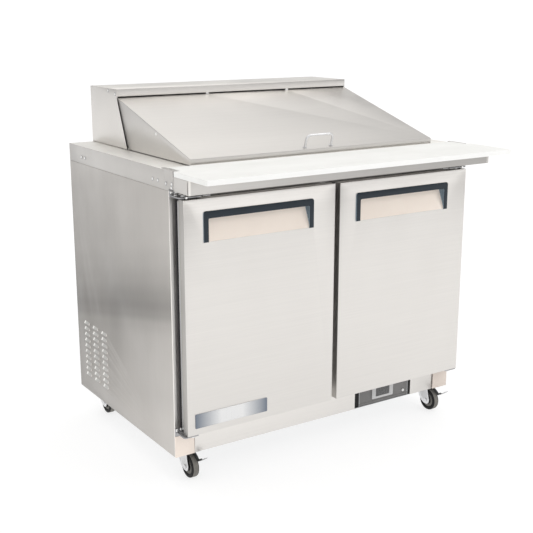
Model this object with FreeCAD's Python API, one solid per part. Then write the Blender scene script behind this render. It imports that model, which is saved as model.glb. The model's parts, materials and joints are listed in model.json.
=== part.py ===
"""Two-door sandwich prep table: refrigerated cabinet, sloping hood over a food well, cutting board, casters.

Everything is laid out in millimetres from the cabinet's lower front edge: X to the right from the middle,
Y to the back from the cabinet's front plane, Z up from the cabinet's underside. save() moves each piece into
the part's own frame, whose origin lies on the floor under the middle of the whole object.
"""

import math
import os

import FreeCAD
import Part

Vector = FreeCAD.Vector

# Cabinet
HALF_W = 550.0
DEPTH = 724.0
HEIGHT = 873.0
CASTER_H = 95.0
SKIN = 1.2
FRAME_SHEET = 1.5
WALL = 50.0
BACK_WALL = 60.0
BAND_Z = 815.0
RETURN_W = 14.0
LEDGE_Z = 862.6
LEDGE_Y = 22.0
APRON_Z = 800.0

# Machine space at the lower back
STEP_Y = 430.0
STEP_Z = 300.0
MACHINE_Y = 475.0
MACHINE_TOP = 262.0
LINER_FLOOR_Z = 100.0
LINER = 1.2
PAN_FACE = 1.6
LINE = (230.0, 642.0, 520.0)
EVAP_FAN = (0.0, 548.0, 600.0)
COND_FAN = (-430.0, 590.0, 135.0)

# Food well
WELL_HALF_W = 435.0
WELL_Y = (56.0, 476.0)
PAN_PITCH = 177.0
PAN_W = 176.0
PAN_COLUMNS = 5
PAN_ROWS = ((48.0, 108.0), (158.0, 162.0), (322.0, 162.0))
PAN_DEEP = 100.0
PAN_SHEET = 1.2
RAIL_YS = (157.0, 321.0)

# Hood
HOOD_HALF_W = 463.0
HOOD_FRONT_Y = 518.0
HOOD_BACK_Y = 726.0
HOOD_TOP_Z = 1062.0
HOOD_FOOT_Y = 452.0
HOOD_FOOT_Z = 873.2
HOOD_GAP = 2.2
HOOD_FOOT_IN = 10.0
BAND_FOOT_Z = 1035.0
HOOD_SLOT_Z = (1030.5, 1038.2)
LID_HALF_W = 460.0
LID_LIP_Y = 33.0
LID_LIP_Z = (875.4, 893.0)
LID_REAR = (516.0, 1034.4)
LID_CORE = 15.0
LID_AXIS = (514.8, 1035.6)
LID_HINGE_XS = (-128.0, 199.0)
KNUCKLE_R = 2.5
KNUCKLE_HALF = 2.0
KNUCKLE_END = 5.2
KNUCKLE_GAP = 0.25

# Cutting board and its shelf
BOARD_HALF_W = 561.0
BOARD_Y = (-237.0, 20.0)
BOARD_Z = (863.0, 878.0)
BOARD_NOTCH = (538.0, -54.0)
SHELF_Y = (-137.0, -52.0)
SHELF_Z = 822.0
SHELF_HEM = 8.0
BRACKET_Y = (-31.5, 23.0)

# Doors
DOOR_X = (9.0, 538.0)
DOOR_Z = (87.0, 795.0)
DOOR_FRONT_Y = -62.0
DOOR_RETURN_Y = -35.0
DOOR_BACK_Y = -14.0
GASKET_FACE_Y = -0.8
GASKET_W = 14.0
GRIP_XS = {"right": (72.7, 455.7), "left": (91.3, 474.3)}
GRIP_Z = (668.0, 757.7)
GRIP_BAR = 21.0
GRIP_LEG = 16.0
POCKET_DEEP = 38.0
HINGE_X = 526.0
HINGE_Y = -40.0
PIN_R = 5.0
PIN_GAP = 0.05

# Kick rail and controls
KICK_H = 68.0
KICK_END = 482.0
CORNER_END = 484.5
CORNER_OUT = 3.0
CONTROL_X = (135.0, 381.0)
CONTROL_Z = (2.0, 58.0)
BEZEL_X = (211.0, 303.0)
BEZEL_Z = (18.0, 57.0)
BUTTON = (350.0, 23.0)

# Casters
WHEEL_R = 38.0
WHEEL_W = 24.0
SWIVEL_XS = (-480.0, 508.0)
SWIVEL_YS = (58.0, 667.0)
TRAIL = 22.0
LEG_GAP = 15.0
LEG_SHEET = 2.5
AXLE_R = 4.0
BRAKE_PIVOT = (-19.0, -15.5)

# Louvres on the left side
LOUVRE_YS = (514.0, 586.0, 658.0)
LOUVRE_L = 38.0
LOUVRE_ROWS = 10
LOUVRE_Z = 65.0
LOUVRE_PITCH = 21.0
LOUVRE_OUT = 4.5

SHIFT = Vector(0, -(BOARD_Y[0] + HOOD_BACK_Y) / 2, CASTER_H)


def box(x0, x1, y0, y1, z0, z1):
    """Box between two corners."""
    return Part.makeBox(x1 - x0, y1 - y0, z1 - z0, Vector(x0, y0, z0))


def rod(start, end, radius):
    """Round bar between two points."""
    start = Vector(*start)
    run = Vector(*end) - start
    return Part.makeCylinder(radius, run.Length, start, run)


def ring(start, end, outer, inner):
    """Tube between two points."""
    return rod(start, end, outer).cut(rod(start, end, inner))


def fuse(shapes):
    """One solid from pieces that touch or overlap."""
    shapes = list(shapes)
    return shapes[0].multiFuse(shapes[1:]).removeSplitter()


def prism_x(outline, x0, x1):
    """Outline of (y, z) points, drawn out from x0 to x1."""
    points = [Vector(x0, y, z) for y, z in outline]
    face = Part.Face(Part.makePolygon(points + points[:1]))
    return face.extrude(Vector(x1 - x0, 0, 0))


def prism_y(outline, y0, y1):
    """Outline of (x, z) points, drawn out from y0 to y1."""
    points = [Vector(x, y0, z) for x, z in outline]
    face = Part.Face(Part.makePolygon(points + points[:1]))
    return face.extrude(Vector(0, y1 - y0, 0))


def other_side(shape):
    """The same piece on the other side of the middle plane."""
    return shape.mirror(Vector(0, 0, 0), Vector(1, 0, 0))


def upright_edges(shape, lowest=0.0):
    """Edges along Z that are longer than lowest."""
    return [e for e in shape.Edges if e.BoundBox.ZLength > lowest and abs(e.BoundBox.ZLength - e.Length) < 1e-6]


def save(name, *solids):
    """Writes one node, moved into the part's frame."""
    shape = solids[0] if len(solids) == 1 else Part.makeCompound(list(solids))
    moved = shape.copy()
    moved.translate(SHIFT)
    moved.exportStep(f"parts/{name}.step")


# Cabinet body


def louvre(y, z):
    """Hood over one slot of the left panel, open at its lower edge, with a cheek at each end."""
    wall = -HALF_W
    outer = [(wall, z + 6), (wall - LOUVRE_OUT, z - 3), (wall, z - 3)]
    inner = [(wall + SKIN, z + 6), (wall - LOUVRE_OUT + 1.4 * SKIN, z - 3.5), (wall + SKIN, z - 3.5)]
    hollow = prism_y(inner, y - LOUVRE_L + SKIN, y - SKIN)
    return prism_y(outer, y - LOUVRE_L, y), hollow


def side_panel(with_louvres):
    """Outer skin of the left side, with a rounded fold and a return at the front, and a return at the foot."""
    wall = -HALF_W
    sheet = fuse([
        box(wall, wall + SKIN, 0, DEPTH - SKIN, 0, BAND_Z - 0.4),
        box(wall, wall + RETURN_W, 0, SKIN, 0, BAND_Z - 0.4),
        box(wall, wall + RETURN_W, 0, DEPTH - SKIN, 0, SKIN),
    ])
    fold = [e for e in upright_edges(sheet, 700) if e.BoundBox.XMax < wall + 0.1 and e.BoundBox.YMax < 0.1]
    sheet = sheet.makeFillet(2.3, fold)
    if not with_louvres:
        return sheet
    places = [(y, LOUVRE_Z + LOUVRE_PITCH * row) for y in LOUVRE_YS for row in range(LOUVRE_ROWS)]
    hoods, hollows = zip(*[louvre(y, z) for y, z in places])
    return fuse([sheet, *hoods]).cut(Part.makeCompound(list(hollows)))


def back_panel():
    """Upper rear skin, a shallow tray with its edges turned in."""
    w = HALF_W - SKIN - 0.2
    top = BAND_Z - 0.4
    tray = box(-w, w, DEPTH - 16, DEPTH, MACHINE_TOP + 28, top)
    hollow = box(-w + SKIN, w - SKIN, DEPTH - 17, DEPTH - SKIN, MACHINE_TOP + 28 + SKIN, top - SKIN)
    return tray.cut(hollow)


def machine_cover():
    """Slotted sheet that closes the machine space, with the cord's hole."""
    w = HALF_W - 10
    y = DEPTH - 8
    sheet = box(-w, w, y, y + SKIN, 8, MACHINE_TOP + 27.9)
    slots = []
    for column in range(6):
        for row in range(9):
            x = -400 + 140 * column
            z = 80 + 20 * row
            slots.append(box(x, x + 100, y - 1, y + 3, z, z + 7))
    hole = rod((-480, y - 1, 45), (-480, y + 3, 45), 9.0)
    return sheet.cut(Part.makeCompound([*slots, hole]))


def cord_gland():
    """Grommet in the machine cover that the supply cord passes through."""
    y = DEPTH - 8
    body = fuse([
        rod((-480, y - 6, 45), (-480, y + 8, 45), 8.9),
        rod((-480, y + SKIN, 45), (-480, y + 5, 45), 13.0),
        rod((-480, y - 4, 45), (-480, y, 45), 12.0),
    ])
    return body.cut(rod((-480, y - 7, 45), (-480, y + 9, 45), 4.5))


def base_pan():
    """Floor of the cabinet, with upturned edges."""
    w = HALF_W - SKIN - RETURN_W
    rear = DEPTH - 8.1
    tray = box(-w, w, 2, rear, 0, 16)
    hollow = box(-w + SKIN, w - SKIN, 2 + SKIN, rear - SKIN, FRAME_SHEET, 17)
    notch = box(CONTROL_X[0] - 1, CONTROL_X[1] + 1, 0, 4, FRAME_SHEET, 17)
    return tray.cut(hollow).cut(notch)


def kick_rail():
    """Low front rail with a lip at its top and a notch for the controls."""
    rail = fuse([
        box(-KICK_END, KICK_END, 0, FRAME_SHEET, 0, KICK_H),
        box(-KICK_END, KICK_END, 0, 24, KICK_H - FRAME_SHEET, KICK_H),
    ])
    return rail.cut(box(CONTROL_X[0], CONTROL_X[1], -1, 2, -1, CONTROL_Z[1]))


def kick_corner():
    """Left corner plate of the kick rail, folded into a shallow tray that stands a little proud of the rail."""
    tray = box(-HALF_W, -CORNER_END, -CORNER_OUT, 0, 0, KICK_H)
    hollow = box(-HALF_W + SKIN, -CORNER_END - SKIN, SKIN - CORNER_OUT, 1, SKIN, KICK_H - SKIN)
    return tray.cut(hollow)


def opening_frame():
    """Front frame round both door openings, with a post between them and a return round each."""
    outer = box(-HALF_W + RETURN_W + 0.2, HALF_W - RETURN_W - 0.2, 0, FRAME_SHEET, KICK_H + 0.2, APRON_Z - 0.2)
    shape = outer
    for side in (-1, 1):
        x0, x1 = sorted((side * 35.0, side * 505.0))
        tube = box(x0 - SKIN, x1 + SKIN, 0, 32, 112 - SKIN, 768 + SKIN)
        shape = shape.fuse(tube)
    for side in (-1, 1):
        x0, x1 = sorted((side * 35.0, side * 505.0))
        shape = shape.cut(box(x0, x1, -1, 33, 112, 768))
    return shape.removeSplitter()


def liner_panels():
    """Inner walls of the cold space: separate flat sheets, with a step up over the machine space."""
    w = HALF_W - WALL
    back = DEPTH - BACK_WALL
    top = 855.0
    outline = [(33, LINER_FLOOR_Z), (STEP_Y, LINER_FLOOR_Z), (STEP_Y, STEP_Z), (back, STEP_Z), (back, top), (33, top)]
    left = prism_x(outline, -w - LINER, -w - 0.05)
    return [
        left,
        other_side(left),
        box(-w, w, back, back + LINER, STEP_Z, top),
        box(-w, w, 33, STEP_Y - LINER, LINER_FLOOR_Z - LINER, LINER_FLOOR_Z),
        box(-w, w, STEP_Y - LINER, STEP_Y, LINER_FLOOR_Z - LINER, STEP_Z),
        box(-w, w, STEP_Y, back, STEP_Z - LINER, STEP_Z).cut(line_passage()),
    ]


def line_passage():
    """Hole that the refrigerant line takes up through the floor over the machine space."""
    return rod((LINE[0], LINE[1], 200), (LINE[0], LINE[1], 400), 6.0)


def insulation():
    """Foam between the liner and the outer skins, as one poured body."""
    w = HALF_W - WALL
    back = DEPTH - BACK_WALL
    skin = HALF_W - SKIN - 0.5
    block = box(-skin, skin, 36, DEPTH - 17, 62, 850)
    hollow = fuse([
        box(-w - LINER - 0.3, w + LINER + 0.3, 30, back + LINER + 0.3, STEP_Z - LINER - 0.3, 860),
        box(-w - LINER - 0.3, w + LINER + 0.3, 30, STEP_Y + 0.3, LINER_FLOOR_Z - LINER - 0.3, STEP_Z + 1),
    ])
    machine = box(-skin - 1, skin + 1, MACHINE_Y, DEPTH, 0, MACHINE_TOP)
    return block.cut(hollow).cut(machine).cut(line_passage())


def worktop():
    """Top sheet with the well, a folded band on three sides and a stepped front that carries the board."""
    w = HALF_W
    sheet = SKIN
    pieces = [
        box(-w, w, LEDGE_Y, DEPTH, HEIGHT - sheet, HEIGHT),
        box(-w, -w + sheet, 0, DEPTH, BAND_Z, LEDGE_Z),
        box(w - sheet, w, 0, DEPTH, BAND_Z, LEDGE_Z),
        box(-w, -w + sheet, LEDGE_Y, DEPTH, BAND_Z, HEIGHT),
        box(w - sheet, w, LEDGE_Y, DEPTH, BAND_Z, HEIGHT),
        box(-w, w, DEPTH - sheet, DEPTH, BAND_Z, HEIGHT),
        box(-w, w, LEDGE_Y, LEDGE_Y + sheet, LEDGE_Z - sheet, HEIGHT),
        box(-w, w, 0, LEDGE_Y + sheet, LEDGE_Z - sheet, LEDGE_Z),
        box(-w, w, 0, sheet, BAND_Z, LEDGE_Z),
        box(-w + RETURN_W + 0.2, w - RETURN_W - 0.2, 0, sheet, APRON_Z, BAND_Z + 1),
        box(-WELL_HALF_W - sheet, WELL_HALF_W + sheet, WELL_Y[0] - sheet, WELL_Y[1] + sheet, HEIGHT - 15, HEIGHT),
    ]
    well = box(-WELL_HALF_W, WELL_HALF_W, WELL_Y[0], WELL_Y[1], HEIGHT - 20, HEIGHT + 1)
    return fuse(pieces).cut(well)


def pan_rails():
    """Two folded bars across the well that carry the pans' rims."""
    bars = []
    for y in RAIL_YS:
        bar = box(-WELL_HALF_W + 0.2, WELL_HALF_W - 0.2, y - 5, y + 5, HEIGHT - 16, HEIGHT - 0.1)
        hollow = box(-WELL_HALF_W, WELL_HALF_W, y - 5 + SKIN, y + 5 - SKIN, HEIGHT - 17, HEIGHT - 0.1 - SKIN)
        bars.append(bar.cut(hollow))
    return bars


def food_pan(x, y, length):
    """One pan hung by its rim, centred on x, with its rim starting at y."""
    rim = box(x - PAN_W / 2, x + PAN_W / 2, y, y + length, HEIGHT, HEIGHT + PAN_SHEET)
    rim = rim.makeFillet(8.0, upright_edges(rim))
    body = box(x - 78, x + 78, y + 9, y + length - 9, HEIGHT - PAN_DEEP, HEIGHT + PAN_SHEET)
    body = body.makeFillet(16.0, upright_edges(body, 50))
    hollow = box(x - 78 + PAN_SHEET, x + 78 - PAN_SHEET, y + 9 + PAN_SHEET, y + length - 9 - PAN_SHEET,
                 HEIGHT - PAN_DEEP + PAN_SHEET, HEIGHT + 5)
    hollow = hollow.makeFillet(16.0 - PAN_SHEET, upright_edges(hollow, 50))
    return rim.fuse(body).cut(hollow).removeSplitter()


def food_pans():
    """All pans of the well: a front row of short ones and two rows of longer ones."""
    pans = []
    for y, length in PAN_ROWS:
        for column in range(PAN_COLUMNS):
            x = (column - (PAN_COLUMNS - 1) / 2) * PAN_PITCH
            pans.append(food_pan(x, y, length))
    return pans


# Hood


def hood_housing():
    """Fixed rear part of the hood: two side plates on inset feet, top, back and a front wall.

    The front wall has a slot level with the rear edge of the lid.
    """
    foot = HOOD_FOOT_Z + HOOD_GAP
    side = [(HOOD_BACK_Y, foot), (HOOD_BACK_Y, HOOD_TOP_Z), (HOOD_FRONT_Y, HOOD_TOP_Z),
            (HOOD_FRONT_Y, BAND_FOOT_Z), (HOOD_FOOT_Y, foot)]
    w = HOOD_HALF_W
    inner = w - HOOD_FOOT_IN
    left = fuse([
        prism_x(side, -w, -w + SKIN),
        box(-w, -inner, HOOD_FOOT_Y + 2, HOOD_BACK_Y, foot, foot + SKIN),
        box(-inner - SKIN, -inner, HOOD_FOOT_Y + 2, HOOD_BACK_Y, HOOD_FOOT_Z, foot + SKIN),
    ])
    shell = fuse([
        left,
        other_side(left),
        box(-w, w, HOOD_FRONT_Y, HOOD_BACK_Y, HOOD_TOP_Z - SKIN, HOOD_TOP_Z),
        box(-w, w, HOOD_BACK_Y - SKIN, HOOD_BACK_Y, HEIGHT - 28, HOOD_TOP_Z),
        box(-inner, inner, HOOD_FRONT_Y, HOOD_FRONT_Y + SKIN, HOOD_FOOT_Z, HOOD_TOP_Z),
        box(-w, w, HOOD_FRONT_Y, HOOD_FRONT_Y + SKIN, foot, HOOD_TOP_Z),
    ])
    return shell.cut(box(4 - w, w - 4, HOOD_FRONT_Y - 1, HOOD_FRONT_Y + 3, *HOOD_SLOT_Z))


def lid_slope():
    """Unit direction along the lid's slope towards the hinge, and its upward normal, in (y, z)."""
    run = Vector(0, LID_REAR[0] - LID_LIP_Y, LID_REAR[1] - LID_LIP_Z[1])
    run.normalize()
    return run, Vector(0, -run.z, run.y)


def lid_sheet(depth_from, depth_to, start, end):
    """(y, z) outline of a layer under the lid's slope, between two distances from the lip along the slope."""
    along, normal = lid_slope()
    base = Vector(0, LID_LIP_Y, LID_LIP_Z[1])
    corners = [base + along * start - normal * depth_from, base + along * end - normal * depth_from,
               base + along * end - normal * depth_to, base + along * start - normal * depth_to]
    return [(c.y, c.z) for c in corners]


def slope_length():
    """Length of the lid's top from the lip to its rear edge."""
    return math.hypot(LID_REAR[0] - LID_LIP_Y, LID_REAR[1] - LID_LIP_Z[1])


def hinge_point(distance, height):
    """Point in (y, z) at a distance in front of the lid's axis along the slope, and at a height above it."""
    along, normal = lid_slope()
    point = Vector(0, *LID_AXIS) - along * distance + normal * height
    return point.y, point.z


def lid_shell():
    """Outer skin of the lid: sloping top, front lip and two side plates, cut away round the hinge knuckles."""
    w = LID_HALF_W
    length = slope_length()
    side = [(LID_LIP_Y, LID_LIP_Z[0]), (LID_LIP_Y, LID_LIP_Z[1]), LID_REAR, (450.0, LID_LIP_Z[0])]
    shell = fuse([
        prism_x(lid_sheet(0, SKIN, 0, length), -w, w),
        box(-w, w, LID_LIP_Y, LID_LIP_Y + SKIN, LID_LIP_Z[0], LID_LIP_Z[1]),
        box(-w, w, LID_LIP_Y, LID_LIP_Y + 10, LID_LIP_Z[0], LID_LIP_Z[0] + SKIN),
        prism_x(side, -w, -w + SKIN),
        prism_x(side, w - SKIN, w),
    ])
    reach = KNUCKLE_END + 1.0
    notches = [rod((x - reach, *LID_AXIS), (x + reach, *LID_AXIS), KNUCKLE_R + 1.0) for x in LID_HINGE_XS]
    return shell.cut(Part.makeCompound(notches))


def lid_core():
    """Foamed inner panel of the lid."""
    w = LID_HALF_W - SKIN - 1
    return prism_x(lid_sheet(SKIN + 0.1, SKIN + LID_CORE, 20, slope_length() - 42), -w, w)


def lid_handle():
    """Wire loop that stands square to the slope near the lip, with a welded foot at each end."""
    along, normal = lid_slope()
    half, height, bend, wire = 50.0, 40.0, 16.0, 4.0
    base = Vector(0, LID_LIP_Y, LID_LIP_Z[1]) + along * 13
    left = base + Vector(-half, 0, 0)
    right = base + Vector(half, 0, 0)
    side = Vector(1, 0, 0)
    turn = bend * (1 - math.sqrt(0.5))
    up_left = left + normal * (height - bend)
    top_left = left + side * bend + normal * height
    mid_left = left + side * turn + normal * (height - turn)
    up_right = right + normal * (height - bend)
    top_right = right - side * bend + normal * height
    mid_right = right - side * turn + normal * (height - turn)
    path = Part.Wire([
        Part.LineSegment(left + normal * 0.2, up_left).toShape(),
        Part.Arc(up_left, mid_left, top_left).toShape(),
        Part.LineSegment(top_left, top_right).toShape(),
        Part.Arc(top_right, mid_right, up_right).toShape(),
        Part.LineSegment(up_right, right + normal * 0.2).toShape(),
    ])
    section = Part.Wire(Part.makeCircle(wire, left + normal * 0.2, normal))
    loop = path.makePipeShell([section], True, False)
    feet = [Part.makeCylinder(7.0, 1.8, p + normal * 0.1, normal) for p in (left, right)]
    return fuse([loop, *feet])


def knuckle_spans(x):
    """Spans along X of one hinge: the fixed knuckle in the middle and a moving one at each side."""
    inner = KNUCKLE_HALF + KNUCKLE_GAP
    outer = ((x - KNUCKLE_END, x - inner), (x + inner, x + KNUCKLE_END))
    return (x - KNUCKLE_HALF, x + KNUCKLE_HALF), outer


def lid_hinge_fixed(x):
    """Leaf on the housing's front wall, with the middle knuckle and the pin through all three."""
    middle, _ = knuckle_spans(x)
    y, z = LID_AXIS
    face = HOOD_FRONT_Y - 0.1
    leaf = box(*middle, face - 1, face, z - 28, z)
    plate = box(x - 14, x + 14, face - 1, face, z - 28, z - 8)
    knuckle = rod((middle[0], y, z), (middle[1], y, z), KNUCKLE_R)
    pin = rod((x - KNUCKLE_END - 0.4, y, z), (x + KNUCKLE_END + 0.4, y, z), 1.2)
    return fuse([leaf, plate, knuckle, pin])


def lid_hinge_moving(x):
    """Leaf under the lid's skin with two outer knuckles, bored for the pin."""
    y, z = LID_AXIS
    _, outer = knuckle_spans(x)
    over_lid = (y - LID_LIP_Y) * -lid_slope()[0].z + (z - LID_LIP_Z[1]) * lid_slope()[0].y
    top = -over_lid - SKIN - 0.05
    foot = top - SKIN
    web = [hinge_point(0, 0), hinge_point(1.8, 0), hinge_point(1.8, foot), hinge_point(0, foot)]
    lug = [hinge_point(0, top), hinge_point(9, top), hinge_point(9, foot), hinge_point(0, foot)]
    strap = [hinge_point(8, top), hinge_point(36, top), hinge_point(36, foot), hinge_point(8, foot)]
    shapes = [prism_x(strap, x - 14, x + 14)]
    for x0, x1 in outer:
        shapes += [rod((x0, y, z), (x1, y, z), KNUCKLE_R), prism_x(web, x0, x1), prism_x(lug, x0, x1)]
    bore = rod((x - 8, y, z), (x + 8, y, z), 1.2 + PIN_GAP)
    return fuse(shapes).cut(bore)


# Cutting board


def cutting_board():
    """Thick board with its rear corners notched round the end brackets and its upper edges rounded."""
    w = BOARD_HALF_W
    board = box(-w, w, BOARD_Y[0], BOARD_Y[1], BOARD_Z[0], BOARD_Z[1])
    for x0, x1 in ((-w - 1, -BOARD_NOTCH[0]), (BOARD_NOTCH[0], w + 1)):
        board = board.cut(box(x0, x1, BOARD_NOTCH[1], BOARD_Y[1] + 1, BOARD_Z[0] - 1, BOARD_Z[1] + 1))
    front = [e for e in upright_edges(board) if e.BoundBox.YMax < BOARD_Y[0] + 1]
    board = board.makeFillet(5.0, front)
    rims = [e for e in board.Edges if e.BoundBox.ZMin > BOARD_Z[1] - 0.01]
    return board.makeFillet(1.5, rims)


def board_shelf():
    """Channel under the front of the board: slit end plates, hemmed front corners, and a flange on the apron."""
    w = BOARD_HALF_W
    narrow = HALF_W - 1.5
    top = LEDGE_Z
    sheet = FRAME_SHEET
    channel = fuse([
        box(-w, w, SHELF_Y[0], SHELF_Y[1], top - sheet, top),
        box(-narrow, narrow, SHELF_Y[1] - 1, -0.1, top - sheet, top),
        box(-w, w, SHELF_Y[0], SHELF_Y[0] + sheet, SHELF_Z, top),
        box(-w, w, SHELF_Y[0], SHELF_Y[0] + 14, SHELF_Z, SHELF_Z + sheet),
        box(-w, -w + sheet, SHELF_Y[0], SHELF_Y[1], SHELF_Z, top),
        box(w - sheet, w, SHELF_Y[0], SHELF_Y[1], SHELF_Z, top),
        box(-narrow, narrow, -0.1 - sheet, -0.1, SHELF_Z + 8, top),
        *[box(x, x + SHELF_HEM, SHELF_Y[0] - 0.9, SHELF_Y[0] + 0.1, SHELF_Z, top) for x in (-w, w - SHELF_HEM)],
    ])
    slit = (SHELF_Y[0] + 2.6, SHELF_Y[0] + 6.4, SHELF_Z - 1, top - 4)
    return channel.cut(Part.makeCompound([box(x, x + 5, *slit) for x in (-w - 1, w - 4)]))


def board_bracket():
    """Left end bracket: a plate on the band's end and a rounded flange that guides the board's notch."""
    wall = -HALF_W
    plate = box(wall - 2, wall - 0.1, *BRACKET_Y, SHELF_Z, HEIGHT + 4)
    flange = box(wall - 2, wall + 9, -43, 40, HEIGHT + 1.6, HEIGHT + 4)
    flange = flange.makeFillet(4.0, upright_edges(flange))
    return fuse([plate, flange])


# Doors


def pocket_outline(margin):
    """(y, z) outline of the wedge that the handle pocket takes out of a door, grown by a margin at its back."""
    return [(DOOR_FRONT_Y - 1, GRIP_Z[0] + 1 - margin), (DOOR_FRONT_Y + 1, GRIP_Z[0] + 1 - margin),
            (DOOR_FRONT_Y + POCKET_DEEP + margin, GRIP_Z[1] - 3 + margin), (DOOR_FRONT_Y - 1, GRIP_Z[1] - 3 + margin)]


def door_skin(grip_x):
    """Right door's outer sheet: face, four returns, and the sloping pocket behind the handle."""
    x0, x1 = DOOR_X
    z0, z1 = DOOR_Z
    front = box(x0, x1, DOOR_FRONT_Y, DOOR_RETURN_Y, z0, z1)
    long_edges = [e for e in upright_edges(front, 100) if e.BoundBox.YMax < DOOR_FRONT_Y + 1]
    front = front.makeFillet(3.0, long_edges)
    hollow = box(x0 + SKIN, x1 - SKIN, DOOR_FRONT_Y + SKIN, DOOR_RETURN_Y + 1, z0 + SKIN, z1 - SKIN)
    gx0, gx1 = grip_x[0] + 4, grip_x[1] - 4
    wedge = prism_x(pocket_outline(SKIN), gx0 - SKIN, gx1 + SKIN)
    wedge = wedge.common(box(gx0 - SKIN, gx1 + SKIN, DOOR_FRONT_Y, 0, z0, z1))
    space = prism_x(pocket_outline(0), gx0, gx1)
    holes = [rod((HINGE_X, HINGE_Y, z - 3), (HINGE_X, HINGE_Y, z + 3), PIN_R + 1.0) for z in DOOR_Z]
    return front.cut(hollow).fuse(wedge).cut(space).cut(Part.makeCompound(holes)).removeSplitter()


def door_core(grip_x):
    """Right door's foamed inner panel, stepped in behind the skin, cut for the pocket and bored for both pins."""
    x0, x1 = DOOR_X
    z0, z1 = DOOR_Z
    gap = SKIN + 0.1
    front = box(x0 + gap, x1 - gap, DOOR_FRONT_Y + gap, DOOR_RETURN_Y, z0 + gap, z1 - gap)
    rear = box(x0 + 7, x1 - 7, DOOR_RETURN_Y, DOOR_BACK_Y, z0 + 7, z1 - 7)
    wedge = prism_x(pocket_outline(gap + 0.1), grip_x[0] + 4 - gap, grip_x[1] - 4 + gap)
    bores = [rod((HINGE_X, HINGE_Y, z0 - 1), (HINGE_X, HINGE_Y, z0 + 24), PIN_R + PIN_GAP),
             rod((HINGE_X, HINGE_Y, z1 - 24), (HINGE_X, HINGE_Y, z1 + 1), PIN_R + PIN_GAP)]
    return front.fuse(rear).cut(wedge).cut(Part.makeCompound(bores)).removeSplitter()


def door_gasket():
    """Right door's soft seal, one ring round the back of the door."""
    x0, x1, z0, z1 = DOOR_X[0] + 8, DOOR_X[1] - 8, DOOR_Z[0] + 8, DOOR_Z[1] - 8
    outer = box(x0, x1, DOOR_BACK_Y + 0.1, GASKET_FACE_Y, z0, z1)
    return outer.cut(box(x0 + GASKET_W, x1 - GASKET_W, DOOR_BACK_Y - 1, 0, z0 + GASKET_W, z1 - GASKET_W))


def door_handle(grip_x):
    """Moulded frame of the right door's pocket: a top bar with a grip behind it, two legs and two end walls."""
    x0, x1 = grip_x
    z0, z1 = GRIP_Z
    face = DOOR_FRONT_Y - 2
    slab = box(x0, x1, face, DOOR_FRONT_Y - 0.1, z0, z1)
    across = [e for e in slab.Edges if e.BoundBox.YLength > 1.5]
    upper = [e for e in across if e.BoundBox.ZMin > z1 - 1]
    slab = slab.makeFillet(8.0, upper)
    opening = box(x0 + GRIP_LEG, x1 - GRIP_LEG, face - 1, DOOR_FRONT_Y + 1, z0 - 1, z1 - GRIP_BAR)
    inner = [e for e in opening.Edges if e.BoundBox.YLength > 2 and e.BoundBox.ZMin > z0]
    opening = opening.makeFillet(4.0, inner)
    grip = box(x0 + 8, x1 - 8, DOOR_FRONT_Y - 0.5, DOOR_FRONT_Y + 10, z1 - GRIP_BAR + 1, z1 - 4)
    ends = []
    for a, b in ((x0 + 4.3, x0 + GRIP_LEG - 3), (x1 - GRIP_LEG + 3, x1 - 4.3)):
        end = prism_x(pocket_outline(-0.6), a, b)
        ends.append(end.common(box(a, b, DOOR_FRONT_Y - 0.5, 0, z0, z1)))
    return fuse([slab.cut(opening), grip, *ends])


def name_plate():
    """Blank badge on the left door."""
    plate = box(-513, -260, DOOR_FRONT_Y - 1.6, DOOR_FRONT_Y - 0.1, 107, 152)
    across = [e for e in plate.Edges if abs(e.BoundBox.YLength - 1.5) < 0.01]
    return plate.makeFillet(2.5, across)


def hinge_bracket(lower):
    """Right door's pivot bracket: a plate under or over the door, a foot on the cabinet's front, and its pin."""
    if lower:
        plate_x, plate_z, foot_z, pin_z = 494.0, (79.0, 83.0), (69.0, 94.0), (79.5, DOOR_Z[0] + 20)
    else:
        plate_x, plate_z, foot_z, pin_z = 470.0, (799.0, 803.0), (799.0, 820.0), (DOOR_Z[1] - 20, 802.5)
    plate = box(plate_x, 546, -54, -0.1, *plate_z)
    plate = plate.makeFillet(8.0, [e for e in upright_edges(plate) if e.BoundBox.YMax < -50])
    foot = box(506, 549, -3.5, -0.1, *foot_z)
    pin = rod((HINGE_X, HINGE_Y, pin_z[0]), (HINGE_X, HINGE_Y, pin_z[1]), PIN_R)
    return fuse([plate, foot, pin])


# Fasteners


def screw_head(place, outward):
    """Domed pan head standing on a face."""
    head = Part.makeCylinder(4.2, 2.2, Vector(*place), Vector(*outward))
    rim = [e for e in head.Edges if isinstance(e.Curve, Part.Circle)]
    centre = Vector(*place) + Vector(*outward) * 2.2
    top = [e for e in rim if (e.Curve.Center - centre).Length < 0.01]
    return head.makeFillet(1.4, top)


def pan_heads():
    """Screws of the band, the hood's side plates and the end brackets, on both sides."""
    spots = [(HALF_W + 0.05, y, 837) for y in (65, 98, 593, 621)]
    spots += [(HOOD_HALF_W + 0.05, 581, 1054), (HOOD_HALF_W + 0.05, 527, 1046)]
    spots += [(HALF_W + 2.05, 10.5, 835.5), (HALF_W + 2.05, -23.5, 838), (HALF_W + 2.05, -22, 827)]
    heads = [screw_head(spot, (1, 0, 0)) for spot in spots]
    return heads + [other_side(head) for head in heads]


# Controls


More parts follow.
